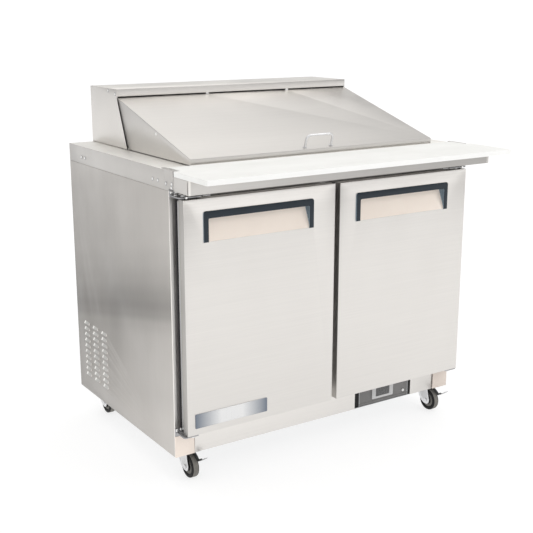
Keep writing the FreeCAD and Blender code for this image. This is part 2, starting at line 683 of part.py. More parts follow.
def control_housing():
    """Tray behind the kick rail with a face plate, a groove at each end and a ledge along its foot."""
    x0, x1 = CONTROL_X
    block = box(x0 + 0.3, x1 - 0.3, 4, 48, 0.2 + FRAME_SHEET, CONTROL_Z[1] - 0.3)
    hollow = box(x0 + 3, x1 - 3, 8, 49, 5, CONTROL_Z[1] - 3)
    grooves = [box(x0 + 2, x0 + 20, 3, 7, 0, CONTROL_Z[1]), box(x1 - 7, x1 - 1, 3, 7, 0, CONTROL_Z[1])]
    ledge = box(x0 + 21, x1 - 8, 2.4, 4.1, 8, 11)
    window = box(BEZEL_X[0] + 12, BEZEL_X[1] - 12, 3, 9, BEZEL_Z[0] + 6, BEZEL_Z[1] - 2)
    hole = rod((BUTTON[0], 3, BUTTON[1]), (BUTTON[0], 9, BUTTON[1]), 5.3)
    return block.cut(hollow).fuse(ledge).cut(Part.makeCompound([*grooves, window, hole])).removeSplitter()


def controller():
    """Thermostat body with a U-shaped bezel round its window."""
    x0, x1 = BEZEL_X
    bezel = box(x0, x1, 0.5, 3.9, BEZEL_Z[0], BEZEL_Z[1])
    lower = [e for e in bezel.Edges if e.BoundBox.YLength > 3 and e.BoundBox.ZMax < BEZEL_Z[0] + 1]
    bezel = bezel.makeFillet(4.0, lower)
    window = box(x0 + 16, x1 - 16, 0, 2.6, BEZEL_Z[0] + 7, BEZEL_Z[1] + 1)
    body = box(x0 + 13, x1 - 13, 3, 60, BEZEL_Z[0] + 7, BEZEL_Z[1] - 3)
    return fuse([bezel.cut(window), body])


def push_button():
    """Round button with a stem through the face plate."""
    x, z = BUTTON
    cap = rod((x, 1.0, z), (x, 8.5, z), 5.0)
    rim = [e for e in cap.Edges if isinstance(e.Curve, Part.Circle) and e.Curve.Center.y < 2]
    cap = cap.makeFillet(1.2, rim)
    return fuse([cap, rod((x, 8, z), (x, 16, z), 6.5)])


# Casters


def caster_plate(x, y):
    """Top plate with its race, bolted under the base."""
    plate = box(x - 32, x + 32, y - 36, y + 36, -3, -0.1)
    plate = plate.makeFillet(6.0, upright_edges(plate))
    bolts = [rod((x + a, y + b, -7), (x + a, y + b, -2.5), 5.5) for a in (-24, 24) for b in (-28, 28)]
    race = rod((x, y, -11), (x, y, -2.9), 22)
    return fuse([plate, race, *bolts]).cut(rod((x, y, -12), (x, y, 1), 5.0 + PIN_GAP))


def caster_fork(x, y, braked):
    """Swivelling fork: crown, king pin, two wide legs; the axle bolt is a solid of its own."""
    axle_y = y - TRAIL
    axle_z = WHEEL_R - CASTER_H
    crown = box(x - LEG_GAP - LEG_SHEET, x + LEG_GAP + LEG_SHEET, y - 12, y + 24, -14.4, -11.3)
    king = rod((x, y, -14), (x, y, -0.6), 5.0)
    leg = [(24, -11.3), (21, -30), (15, -48), (2, -64), (-12, -71), (-27, -71.5), (-36, -66), (-39, -54), (-33, -34),
           (-27, -16), (-26, -11.3)]
    leg = [(y + a, z) for a, z in leg]
    legs = [prism_x(leg, x + LEG_GAP, x + LEG_GAP + LEG_SHEET), prism_x(leg, x - LEG_GAP - LEG_SHEET, x - LEG_GAP)]
    holes = [rod((x - 20, axle_y, axle_z), (x + 20, axle_y, axle_z), AXLE_R + 0.1)]
    if braked:
        pivot = (y + BRAKE_PIVOT[0], BRAKE_PIVOT[1])
        holes.append(rod((x - 20, *pivot), (x + 20, *pivot), 2.0 + PIN_GAP))
    fork = fuse([crown, king, *legs]).cut(Part.makeCompound(holes))
    end = LEG_GAP + LEG_SHEET
    axle = fuse([
        rod((x - end - 4, axle_y, axle_z), (x + end + 4, axle_y, axle_z), AXLE_R),
        rod((x - end - 4.2, axle_y, axle_z), (x - end - 0.1, axle_y, axle_z), 6.5),
        rod((x + end + 0.1, axle_y, axle_z), (x + end + 4.2, axle_y, axle_z), 6.5),
    ])
    return fork, axle


def caster_wheel(x, y):
    """Wheel with a rounded tread, dished faces and a long hub."""
    axle_y = y - TRAIL
    axle_z = WHEEL_R - CASTER_H
    tread = rod((x - WHEEL_W / 2, axle_y, axle_z), (x + WHEEL_W / 2, axle_y, axle_z), WHEEL_R)
    tread = tread.makeFillet(3.5, [e for e in tread.Edges if isinstance(e.Curve, Part.Circle)])
    dishes = [ring((x + a, axle_y, axle_z), (x + b, axle_y, axle_z), 28, 11) for a, b in ((-13, -8), (8, 13))]
    hub = rod((x - 14.5, axle_y, axle_z), (x + 14.5, axle_y, axle_z), 9)
    wheel = tread.cut(Part.makeCompound(dishes)).fuse(hub)
    return wheel.cut(rod((x - 16, axle_y, axle_z), (x + 16, axle_y, axle_z), AXLE_R + PIN_GAP)).removeSplitter()


def brake_pedal(x, y):
    """Brake lever on stub pins: a narrow pad over the wheel's right edge and a tongue that rises beside it."""
    pad = [(-16, -13.9), (-26, -12.8), (-37, -14.5), (-49, -21), (-60, -30)]
    tongue = [(-56, -27), (-66, -27.5), (-93, -9)]
    pivot = (y + BRAKE_PIVOT[0], BRAKE_PIVOT[1])
    shapes = []
    for upper, thick, start, end in ((pad, 2.2, 4, 13), (tongue, 2.0, 10, 22)):
        lower = [(a, z - thick) for a, z in reversed(upper)]
        shapes.append(prism_x([(y + a, z) for a, z in upper + lower], x + start, x + end))
    shapes.append(rod((x - 14.6, *pivot), (x + 14.6, *pivot), 2.4))
    shapes.append(rod((x - 17.4, *pivot), (x + 17.4, *pivot), 2.0))
    return fuse(shapes)


# Cold side


def fan_blades(centre, axis, radius, blades):
    """Hub with pitched blades, turning about axis ("x" or "y") through centre."""
    hub = Part.makeCylinder(0.24 * radius, 16, Vector(0, 0, -8), Vector(0, 0, 1))
    shapes = [hub]
    for i in range(blades):
        blade = box(0.2 * radius, radius, -0.26 * radius, 0.26 * radius, -0.8, 0.8)
        blade = blade.makeFillet(0.2 * radius, [e for e in upright_edges(blade) if e.BoundBox.XMin > 0.5 * radius])
        blade.rotate(Vector(0, 0, 0), Vector(1, 0, 0), 24)
        blade.rotate(Vector(0, 0, 0), Vector(0, 0, 1), 360.0 * i / blades)
        shapes.append(blade)
    fan = fuse(shapes).cut(rod((0, 0, -9), (0, 0, 9), 3.0 + PIN_GAP))
    turn = (Vector(0, 1, 0), 90) if axis == "x" else (Vector(1, 0, 0), 90)
    fan.rotate(Vector(0, 0, 0), *turn)
    fan.translate(Vector(*centre))
    return fan


def evaporator_coil():
    """Finned block with tube bends at both ends."""
    fins = [box(-190 + 10 * i, -188.8 + 10 * i, 600, 655, 490, 710) for i in range(39)]
    tubes = [rod((-208.6, y, z), (208.6, y, z), 4.8) for y in (612, 642) for z in (520, 560, 600, 640, 680)]
    return fuse([*fins, *tubes])


def evaporator_cover():
    """Shroud over the coil with one round fan opening, open at its foot and back."""
    back = DEPTH - BACK_WALL
    case = box(-210, 210, 566, back - 0.1, 476, 740)
    hollow = box(-210 + SKIN, 210 - SKIN, 566 + SKIN, back, 475, 740 - SKIN)
    mouth = rod((EVAP_FAN[0], 560, EVAP_FAN[2]), (EVAP_FAN[0], 570, EVAP_FAN[2]), 82)
    rim = ring((EVAP_FAN[0], 538, EVAP_FAN[2]), (EVAP_FAN[0], 567, EVAP_FAN[2]), 83.2, 82)
    line = rod((200, LINE[1], LINE[2]), (215, LINE[1], LINE[2]), 6.0)
    return fuse([case.cut(hollow).cut(mouth).cut(line), rim])


def fan_motors():
    """Motors of both fans, each with a shaft and a bracket."""
    x, y, z = EVAP_FAN
    cold = fuse([
        rod((x, 562, z), (x, 592, z), 26),
        rod((x, 541, z), (x, 563, z), 3.0),
        box(x - 94, x + 94, 567.3, 569.3, z - 8, z + 8),
    ])
    x, y, z = COND_FAN
    warm = fuse([
        rod((x + 14, y, z), (x + 60, y, z), 34),
        rod((x - 7, y, z), (x + 15, y, z), 3.0),
        box(x + 30, x + 34, y - 12, y + 12, PAN_FACE, z),
        box(x + 10, x + 60, y - 30, y + 30, PAN_FACE, PAN_FACE + 2),
    ])
    return [cold, warm]


def condenser_coil():
    """Finned block behind the left louvres."""
    fins = [box(-522, -482, 500 + 8 * i, 501.2 + 8 * i, 22, 250) for i in range(23)]
    tubes = [rod((x, 494, z), (x, 684, z), 4.8) for x in (-512, -492) for z in (40, 76, 112, 148, 184, 220)]
    ends = [box(-523, -481, y, y + 1.5, PAN_FACE, 252) for y in (495, 682)]
    return fuse([*fins, *tubes, *ends])


def condenser_shroud():
    """Sheet frame that guides air from the coil to its fan."""
    plate = box(-478, -476, 492, 688, PAN_FACE, 252)
    mouth = rod((-480, COND_FAN[1], COND_FAN[2]), (-470, COND_FAN[1], COND_FAN[2]), 86)
    rim = ring((-477, COND_FAN[1], COND_FAN[2]), (-445, COND_FAN[1], COND_FAN[2]), 87.2, 86)
    return fuse([plate.cut(mouth), rim])


def compressor():
    """Sealed shell on four feet, with its terminal box."""
    x, y = -210, 600
    shell = rod((x, y, 34), (x, y, 190), 78)
    shell = shell.makeFillet(32.0, [e for e in shell.Edges if isinstance(e.Curve, Part.Circle)])
    foot = box(x - 95, x + 95, y - 60, y + 60, 30, 34.5)
    studs = [rod((x + a, y + b, PAN_FACE), (x + a, y + b, 40), 9) for a in (-82, 82) for b in (-48, 48)]
    terminals = box(x + 60, x + 96, y - 24, y + 24, 80, 140)
    return fuse([shell, foot, *studs, terminals])


def tube_run(points, radius):
    """Round tube along straight runs, with a ball at each corner."""
    pieces = [rod(a, b, radius) for a, b in zip(points, points[1:])]
    corners = [Part.makeSphere(radius, Vector(*p)) for p in points[1:-1]]
    return fuse([*pieces, *corners])


def refrigerant_tubing():
    """Discharge line to the condenser, and a line with its drier that rises to the evaporator."""
    discharge = tube_run([(-180, 560, 193), (-180, 560, 225), (-340, 500, 225), (-340, 483, 60), (-470, 483, 40),
                          (-505, 489, 40)], 4.0)
    drier = rod((60, 520, 60), (60, 520, 150), 12)
    x, y, z = LINE
    rise = tube_run([(-110, 560, 100), (-40, 520, 60), (60, 520, 40), (60, 520, 190), (x, 560, 220), (x, y, 240),
                     (x, y, z), (208.8, y, z)], 4.0)
    return [discharge, fuse([rise, drier])]


def drain_pan():
    """Tray that catches the melt water, on the base beside the compressor."""
    tray = box(150, 420, 520, 700, PAN_FACE, 42)
    return tray.cut(box(150 + SKIN, 420 - SKIN, 520 + SKIN, 700 - SKIN, PAN_FACE + SKIN, 43))


def wire_shelf(x0, x1):
    """Coated wire shelf: a rim, two cross bars below and close wires front to back."""
    y0, y1, z = 40.0, 530.0, 454.0
    path = Part.Wire(Part.makePolygon([Vector(x0, y0, z), Vector(x1, y0, z), Vector(x1, y1, z), Vector(x0, y1, z),
                                       Vector(x0, y0, z)]))
    path = Part.Face(path).makeOffset2D(-12).makeOffset2D(12).OuterWire
    start = path.Edges[0].valueAt(path.Edges[0].FirstParameter)
    along = path.Edges[0].tangentAt(path.Edges[0].FirstParameter)
    rim = path.makePipeShell([Part.Wire(Part.makeCircle(3.0, start, along))], True, False)
    cross = [rod((x0, y, z), (x1, y, z), 2.5) for y in (200.0, 370.0)]
    count = 17
    wires = []
    for i in range(1, count):
        x = x0 + (x1 - x0) * i / count
        wires.append(rod((x, y0, z + 2.4), (x, y1, z + 2.4), 1.7))
    return fuse([rim, *cross, *wires])


def shelf_supports():
    """Slotted strips with clips on both side walls, and a rail down the middle."""
    strips = []
    for y in (100, 400):
        strip = box(-499.9, -494, y, y + 14, 130, 760)
        slots = [box(-500, -493, y + 4, y + 10, 150 + 50 * i, 160 + 50 * i) for i in range(12)]
        clip = box(-494.1, -482, y, y + 14, 446, 450.8)
        strips.append(fuse([strip.cut(Part.makeCompound(slots)), clip]))
    rail = box(-9, 9, 33, DEPTH - BACK_WALL - 0.1, 440, 450.8)
    return strips + [other_side(s) for s in strips] + [rail]


def build_cabinet():
    """Writes the fixed nodes of the cabinet and its hood."""
    save("side_panel_left", side_panel(True))
    save("side_panel_right", other_side(side_panel(False)))
    save("back_panel", back_panel())
    save("machine_cover", machine_cover())
    save("cord_gland", cord_gland())
    save("base_pan", base_pan())
    save("kick_rail", kick_rail())
    save("kick_corner_plates", kick_corner(), other_side(kick_corner()))
    save("door_opening_frame", opening_frame())
    save("liner_panels", *liner_panels())
    save("insulation", insulation())
    save("worktop", worktop())
    save("pan_rails", *pan_rails())
    save("food_pans", *food_pans())
    save("hood_housing", hood_housing())
    save("lid_hinge_fixed_leaves", *[lid_hinge_fixed(x) for x in LID_HINGE_XS])
    save("board_shelf", board_shelf())
    save("board_end_brackets", board_bracket(), other_side(board_bracket()))
    save("pan_head_screws", *pan_heads())
    brackets = [hinge_bracket(True), hinge_bracket(False)]
    save("door_hinge_brackets", *brackets, *[other_side(b) for b in brackets])
    save("control_housing", control_housing())
    save("controller", controller())


def build_machine():
    """Writes the refrigeration and the shelves."""
    save("evaporator_coil", evaporator_coil())
    save("evaporator_cover", evaporator_cover())
    save("evaporator_fan", fan_blades(EVAP_FAN, "y", 74, 5))
    save("fan_motors", *fan_motors())
    save("condenser_coil", condenser_coil())
    save("condenser_shroud", condenser_shroud())
    save("condenser_fan", fan_blades(COND_FAN, "x", 78, 5))
    save("compressor", compressor())
    save("refrigerant_tubing", *refrigerant_tubing())
    save("drain_pan", drain_pan())
    save("wire_shelves", wire_shelf(-488, -5), wire_shelf(5, 488))
    save("shelf_supports", *shelf_supports())


def build_moving():
    """Writes the lid, the board, the doors, the button and the casters."""
    save("lid_shell", lid_shell())
    save("lid_core", lid_core())
    save("lid_handle", lid_handle())
    save("lid_hinge_moving_leaves", *[lid_hinge_moving(x) for x in LID_HINGE_XS])
    save("cutting_board", cutting_board())
    for hand, grip_x in GRIP_XS.items():
        for name, piece in (("door_skin", door_skin(grip_x)), ("door_core", door_core(grip_x)),
                            ("door_gasket", door_gasket()), ("door_handle", door_handle(grip_x))):
            save(f"{name}_{hand}", piece if hand == "right" else other_side(piece))
    save("name_plate", name_plate())
    save("power_button", push_button())
    plates = []
    for y, row in zip(SWIVEL_YS, ("front", "rear")):
        for x, hand in zip(SWIVEL_XS, ("left", "right")):
            plates.append(caster_plate(x, y))
            save(f"caster_fork_{row}_{hand}", *caster_fork(x, y, row == "front"))
            save(f"caster_wheel_{row}_{hand}", caster_wheel(x, y))
            if row == "front":
                save(f"brake_pedal_{hand}", brake_pedal(x, y))
    save("caster_plates", *plates)


os.makedirs("parts", exist_ok=True)
build_cabinet()
build_machine()
build_moving()
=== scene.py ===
import json
import math

import bmesh
import bpy
from mathutils import Matrix, Vector

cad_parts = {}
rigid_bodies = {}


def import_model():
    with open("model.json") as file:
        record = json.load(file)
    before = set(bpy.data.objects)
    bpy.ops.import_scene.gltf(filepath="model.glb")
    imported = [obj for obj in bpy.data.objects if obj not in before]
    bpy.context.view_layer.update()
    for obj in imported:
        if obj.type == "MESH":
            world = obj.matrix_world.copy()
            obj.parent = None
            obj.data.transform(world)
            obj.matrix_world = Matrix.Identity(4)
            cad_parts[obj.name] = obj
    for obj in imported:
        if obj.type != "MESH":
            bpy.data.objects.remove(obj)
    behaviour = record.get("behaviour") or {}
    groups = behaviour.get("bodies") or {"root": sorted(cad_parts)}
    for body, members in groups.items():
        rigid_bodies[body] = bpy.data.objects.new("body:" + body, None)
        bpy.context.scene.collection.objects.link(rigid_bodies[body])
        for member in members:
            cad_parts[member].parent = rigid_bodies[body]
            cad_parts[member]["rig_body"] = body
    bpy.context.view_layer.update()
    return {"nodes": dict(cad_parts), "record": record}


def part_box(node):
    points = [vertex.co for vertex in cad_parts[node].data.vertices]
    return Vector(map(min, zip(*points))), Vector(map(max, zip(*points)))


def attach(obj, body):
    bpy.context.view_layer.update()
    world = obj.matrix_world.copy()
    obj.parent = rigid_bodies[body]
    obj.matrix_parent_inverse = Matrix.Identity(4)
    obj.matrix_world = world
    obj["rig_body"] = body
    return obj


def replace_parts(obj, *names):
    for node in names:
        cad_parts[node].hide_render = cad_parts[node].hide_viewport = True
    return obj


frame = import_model()

MM = 0.001
NODES = frame["nodes"]
SLOT_OF = {part["node"]: part["material_slot"] for part in frame["record"]["subparts"]}
HANDS = ("left", "right")
ROWS = ("front", "rear")

# Camera: where it stands, where it looks and how long its lens is
CAMERA_PLACE = Vector((-1.7949, -2.6593, 1.3886))
CAMERA_FORWARD = Vector((0.52859, 0.81127, -0.24988))
CAMERA_RIGHT = Vector((0.83786, -0.54588, 0.00014))
LENS_MM = 65.8
SENSOR_MM = 36.0

# Corners of the grey card on the floor behind the left side, which darkens what the side panel reflects
GREY_CARD = [(-0.95, 1.85), (-1.30, 1.10), (-1.75, 1.40), (-1.35, 2.30)]

# Light levels: sky below and overhead, the stage paints and what the floor and the ring give off
SKY_LOW = 0.25
SKY_HIGH = 1.35
FLOOR_PAINT = 0.30
FLOOR_GLOW = 0.74
RING_PAINT = 0.05
RING_GLOW = 1.0
CARD_PAINT = 0.10

# Stage, in metres: half the floor's width, and the tops of the ring and of the backdrop over it
STAGE_REACH = 12.0
RING_TOP = 2.2
BACKDROP_TOP = 9.0
CARD_UP = 0.002

# Soft box: where it stands, what it lights, its width and height, and its power in watts
KEY_PLACE = (2.4, -3.2, 3.6)
KEY_AIM = (0.1, 0.0, 0.5)
KEY_SIZE = (2.4, 1.8)
KEY_POWER = 22


# Materials


class Tree:
    """A material's nodes, added in the order in which they feed each other."""

    def __init__(self, name):
        self.material = bpy.data.materials.new(name)
        self.material.use_nodes = True
        self.nodes = self.material.node_tree.nodes
        self.links = self.material.node_tree.links
        self.shader = self.nodes["Principled BSDF"]
        self.place = self.nodes.new("ShaderNodeTexCoord").outputs["Object"]

    def feed(self, node, key, value):
        """Links a socket into an input, or sets the input to a plain value."""
        if isinstance(value, bpy.types.NodeSocket):
            self.links.new(value, node.inputs[key])
        else:
            node.inputs[key].default_value = value

    def add(self, kind, inputs, **settings):
        """New node with its settings and inputs."""
        node = self.nodes.new("ShaderNode" + kind)
        for key, value in settings.items():
            setattr(node, key, value)
        for key, value in inputs.items():
            self.feed(node, key, value)
        return node

    def scaled(self, scale):
        """Object coordinates in metres, times a scale for each axis."""
        return self.add("Mapping", {"Vector": self.place, "Scale": scale}).outputs["Vector"]

    def noise(self, scale, detail=3.0, roughness=0.55):
        """Noise with a number of waves per metre along each axis."""
        sockets = {"Vector": self.scaled(scale), "Scale": 1.0, "Detail": detail, "Roughness": roughness}
        return self.add("TexNoise", sockets).outputs["Fac"]

    def span(self, value, low, high, start=0.3, end=0.7):
        """A value from start to end, spread over low to high and held beyond."""
        sockets = {"Value": value, "From Min": start, "From Max": end, "To Min": low, "To Max": high}
        return self.add("MapRange", sockets).outputs["Result"]

    def sum(self, a, b, weight=1.0):
        """a plus weight times b."""
        return self.add("Math", {0: b, 1: weight, 2: a}, operation="MULTIPLY_ADD").outputs[0]

    def tint(self, share, low, high):
        """Colour from low to high as share goes from 0 to 1."""
        sockets = {"Factor": share, "A": (*low, 1.0), "B": (*high, 1.0)}
        node = self.nodes.new("ShaderNodeMix")
        node.data_type = "RGBA"
        self.feed(node, "Factor", sockets["Factor"])
        for socket in node.inputs:
            if socket.type == "RGBA":
                socket.default_value = sockets[socket.name]
        return next(socket for socket in node.outputs if socket.type == "RGBA")

    def along(self, axis):
        """Object coordinate along one axis, in metres."""
        return self.add("SeparateXYZ", {"Vector": self.place}).outputs[axis]

    def dim(self, colour, factor):
        """Colour times a factor."""
        return self.add("VectorMath", {0: colour, "Scale": factor}, operation="SCALE").outputs["Vector"]

    def toned(self, colour, direction, stops):
        """Colour times a factor that changes slowly along a direction, for painted light and shade; stops are
        (metres, factor) pairs.
        """
        dot = self.add("VectorMath", {0: self.place, 1: direction}, operation="DOT_PRODUCT")
        first, last = stops[0][0], stops[-1][0]
        ramp = self.add("ValToRGB", {"Fac": self.span(dot.outputs["Value"], 0.0, 1.0, first, last)})
        ramp.color_ramp.interpolation = "EASE"
        elements = ramp.color_ramp.elements
        for place, _ in stops[1:-1]:
            elements.new((place - first) / (last - first))
        for element, (_, factor) in zip(elements, stops):
            element.color = (factor, factor, factor, 1.0)
        product = self.add("VectorMath", {0: colour, 1: ramp.outputs["Color"]}, operation="MULTIPLY")
        return product.outputs["Vector"]

    def voronoi(self, scale, **settings):
        """Distance to the nearest cell centre, with a number of cells per metre."""
        sockets = {"Vector": self.scaled((scale,) * 3), "Scale": 1.0}
        return self.add("TexVoronoi", sockets, **settings).outputs["Distance"]

    def edge(self, radius):
        """1 on edges and folds sharper than radius, 0 on flat faces."""
        soft = self.add("Bevel", {"Radius": radius}, samples=4).outputs["Normal"]
        hard = self.nodes.new("ShaderNodeNewGeometry").outputs["Normal"]
        dot = self.add("VectorMath", {0: soft, 1: hard}, operation="DOT_PRODUCT").outputs["Value"]
        return self.span(dot, 1.0, 0.0, 0.80, 0.99)

    def bump(self, height, depth, strength=1.0):
        """Normal with height, from 0 to 1, standing depth metres high."""
        sockets = {"Height": height, "Distance": depth, "Strength": strength}
        return self.add("Bump", sockets).outputs["Normal"]

    def finish(self, **inputs):
        """Sets the shader's inputs, whose names are written with underscores."""
        for key, value in inputs.items():
            name = key.replace("_", " ")
            if name == "Base Color" and isinstance(value, tuple):
                value = (*value, 1.0)
            self.feed(self.shader, name, value)
        return self.material


def shade(colour, factor):
    """Colour made lighter or darker."""
    return tuple(min(1.0, c * factor) for c in colour)


def brushed(name, colour, along, rough=0.30, painted_light_tones=()):
    """Brushed stainless sheet: fine lines along one axis, cloudy tone and wiped smears.

    painted_light_tones holds painted light and shade, slow lighter and darker stretches that stand in for
    shade, reflections and highlights, each (direction, stops) as Tree.toned takes them.
    """
    tree = Tree(name)
    axis = "XYZ".index(along)
    fine = [900.0] * 3
    fine[axis] = 5.0
    wide = [160.0] * 3
    wide[axis] = 1.6
    streaks = tree.noise(tuple(fine), 4.0, 0.7)
    bands = tree.noise(tuple(wide), 3.0, 0.6)
    cloud = tree.noise((2.2, 2.2, 2.2), 2.0, 0.5)
    smear = tree.noise((9.0, 9.0, 5.0), 4.0, 0.6)
    grain = tree.sum(tree.sum(tree.span(streaks, 0.0, 0.5), tree.span(bands, 0.0, 0.25)), cloud, 0.35)
    base = tree.tint(grain, shade(colour, 0.95), shade(colour, 1.05))
    # painted light and shade along each direction
    for direction, stops in painted_light_tones:
        base = tree.toned(base, direction, stops)
    gloss = tree.sum(tree.span(smear, rough - 0.03, rough + 0.06), streaks, 0.06)
    relief = tree.bump(streaks, 0.00002, 0.6)
    return tree.finish(Base_Color=base, Metallic=1.0, Roughness=gloss, Normal=relief)


def plated(name, colour, rough=0.25):
    """Zinc-plated or polished steel hardware, slightly mottled in tone and gloss."""
    tree = Tree(name)
    mottle = tree.noise((120.0, 120.0, 120.0), 5.0, 0.6)
    patina = tree.noise((18.0, 18.0, 18.0), 3.0, 0.5)
    base = tree.tint(tree.span(patina, 0.0, 1.0), shade(colour, 0.86), shade(colour, 1.06))
    gloss = tree.span(mottle, rough - 0.05, rough + 0.12)
    return tree.finish(Base_Color=base, Metallic=1.0, Roughness=gloss, Normal=tree.bump(mottle, 0.00003, 0.5))


def moulded(name, colour, rough=0.45, shine=0.5):
    """Moulded plastic: fine spark-eroded grain, faint tone drift, edges lighter, partly from rubbing and
    partly as a painted highlight.
    """
    tree = Tree(name)
    stipple = tree.noise((700.0, 700.0, 700.0), 2.0, 0.6)
    drift = tree.noise((14.0, 14.0, 14.0), 3.0, 0.5)
    body = tree.tint(tree.span(drift, 0.0, 1.0), shade(colour, 0.92), shade(colour, 1.08))
    # edges up to a quarter lighter: rubbed wear and a painted highlight
    rubbed = tree.dim(body, tree.span(tree.edge(0.0012), 1.0, 1.25, 0.0, 1.0))
    gloss = tree.span(stipple, rough - 0.05, rough + 0.08)
    return tree.finish(Base_Color=rubbed, Roughness=gloss, Specular_IOR_Level=shine,
                       Normal=tree.bump(stipple, 0.00004, 0.7))


def board_plastic(name, low, high):
    """Board: dense matt plastic, pebbled, with a few faint knife marks, in a tone from low to high."""
    tree = Tree(name)
    pebble = tree.noise((420.0, 420.0, 420.0), 2.0, 0.5)
    drift = tree.noise((5.0, 9.0, 5.0), 3.0, 0.5)
    cuts = tree.add("TexWave", {"Vector": tree.scaled((30.0, 110.0, 30.0)), "Scale": 1.0, "Distortion": 9.0,
                                "Detail": 3.0}, wave_type="BANDS", bands_direction="DIAGONAL").outputs["Fac"]
    marks = tree.span(cuts, 0.0, 1.0, 0.0, 0.03)
    colour = tree.tint(tree.span(drift, 0.0, 1.0), low, high)
    height = tree.sum(tree.span(pebble, 0.0, 0.5), marks, 0.5)
    return tree.finish(Base_Color=colour, Roughness=tree.span(pebble, 0.42, 0.55), IOR=1.5,
                       Normal=tree.bump(height, 0.00006, 0.6))


def filmed(name, colour, glow, painted_light_tones=()):
    """Steel under its cream protective film: satin, faintly creased, lifted by a painted glow of its own, its
    emission, which stands in for light on it; painted_light_tones hold painted shade.
    """
    tree = Tree(name)
    creases = tree.noise((60.0, 60.0, 22.0), 4.0, 0.6)
    drift = tree.noise((8.0, 8.0, 8.0), 3.0, 0.5)
    base = tree.tint(tree.span(drift, 0.0, 1.0), shade(colour, 0.97), shade(colour, 1.03))
    for direction, stops in painted_light_tones:
        base = tree.toned(base, direction, stops)
    # painted light: emission at glow strength, though the film is no lamp
    return tree.finish(Base_Color=base, Metallic=0.25, Roughness=tree.span(creases, 0.42, 0.55),
                       Emission_Color=(*colour, 1.0), Emission_Strength=glow,
                       Normal=tree.bump(creases, 0.00008, 0.5))


def rubber(name, colour, rough=0.62):
    """Soft seal or tyre rubber: dusty, with small pits."""
    tree = Tree(name)
    pits = tree.noise((900.0, 900.0, 900.0), 3.0, 0.6)
    dust = tree.noise((35.0, 35.0, 35.0), 4.0, 0.6)
    base = tree.tint(tree.span(dust, 0.0, 1.0), shade(colour, 0.85), shade(colour, 1.25))
    gloss = tree.span(dust, rough - 0.06, rough + 0.12)
    return tree.finish(Base_Color=base, Roughness=gloss, Specular_IOR_Level=0.25,
                       Normal=tree.bump(pits, 0.00004, 0.6))


def badge_metal(name, low, high):
    """Satin badge sheet: slate-blue at both ends, bright in the middle, with fine upright lines."""
    tree = Tree(name)
    length = high.x - low.x
    middle = (low.x + high.x) / 2
    offset = tree.add("Math", {0: tree.along("X"), 1: middle}, operation="SUBTRACT").outputs[0]
    away = tree.add("Math", {0: offset}, operation="ABSOLUTE").outputs[0]
    share = tree.span(away, 0.0, 1.0, 0.15 * length, 0.52 * length)
    lines = tree.noise((1400.0, 1400.0, 8.0), 3.0, 0.6)
    base = tree.tint(share, (0.78, 0.78, 0.78), (0.13, 0.16, 0.21))
    return tree.finish(Base_Color=base, Metallic=0.85, Roughness=tree.span(lines, 0.26, 0.40),
                       Normal=tree.bump(lines, 0.00002, 0.6))


def clear_plastic(name):
    """Clear pan plastic, hazed by washing."""
    tree = Tree(name)
    haze = tree.noise((40.0, 40.0, 40.0), 4.0, 0.6)
    colour = tree.tint(haze, (0.86, 0.90, 0.92), (0.95, 0.97, 0.98))
    gloss = tree.span(haze, 0.10, 0.24)
    return tree.finish(Base_Color=colour, Roughness=gloss, Transmission_Weight=0.75, IOR=1.49,
                       Normal=tree.bump(haze, 0.00008, 0.4))


def foam(name):
    """Rigid foam: pale yellow, with small open cells."""
    tree = Tree(name)
    cells = tree.voronoi(520.0)
    drift = tree.noise((12.0, 12.0, 12.0), 3.0, 0.5)
    base = tree.tint(drift, (0.66, 0.58, 0.34), (0.80, 0.73, 0.50))
    gloss = tree.span(drift, 0.8, 0.92)
    return tree.finish(Base_Color=base, Roughness=gloss, Normal=tree.bump(cells, 0.0006, 0.7))


def stucco_sheet(name):
    """Embossed aluminium of the inside: small soft dimples."""
    tree = Tree(name)
    dimples = tree.voronoi(170.0, feature="SMOOTH_F1")
    drift = tree.noise((3.0, 3.0, 3.0), 2.0, 0.5)
    base = tree.tint(drift, (0.74, 0.75, 0.76), (0.84, 0.85, 0.86))
    return tree.finish(Base_Color=base, Metallic=0.9, Roughness=tree.span(drift, 0.30, 0.40),
                       Normal=tree.bump(dimples, 0.0004, 0.7))


def painted(name, colour, rough=0.4):
    """Sprayed paint with a slight orange peel and rubbed edges."""
    tree = Tree(name)
    peel = tree.noise((260.0, 260.0, 260.0), 2.0, 0.5)
    drift = tree.noise((10.0, 10.0, 10.0), 3.0, 0.5)
    base = tree.tint(tree.span(drift, 0.0, 1.0), shade(colour, 0.9), shade(colour, 1.1))
    gloss = tree.sum(tree.span(drift, rough - 0.05, rough + 0.06), tree.edge(0.001), 0.12)
    return tree.finish(Base_Color=base, Roughness=gloss, Normal=tree.bump(peel, 0.00006, 0.5))


def dark_display(name):
    """Dark grey window of the controller, with a faint sheen and dust."""
    tree = Tree(name)
    dust = tree.noise((300.0, 300.0, 300.0), 4.0, 0.6)
    base = tree.tint(tree.span(dust, 0.0, 1.0, 0.5, 0.8), (0.10, 0.10, 0.10), (0.135, 0.135, 0.135))
    gloss = tree.span(dust, 0.20, 0.34)
    return tree.finish(Base_Color=base, Roughness=gloss, Normal=tree.bump(dust, 0.00002, 0.4))


def stage_paint(name, level, glow):
    """Matt stage paint with the faintest mottle, lifted by light of its own."""
    tree = Tree(name)
    drift = tree.noise((0.8, 0.8, 0.8), 3.0, 0.5)
    base = tree.tint(drift, (level * 0.98,) * 3, (level,) * 3)
    return tree.finish(Base_Color=base, Roughness=0.8, Emission_Strength=glow,
                       Emission_Color=(1.0, 1.0, 1.0, 1.0))


STEEL = (0.80, 0.775, 0.745)
WARM_STEEL = (0.80, 0.765, 0.727)
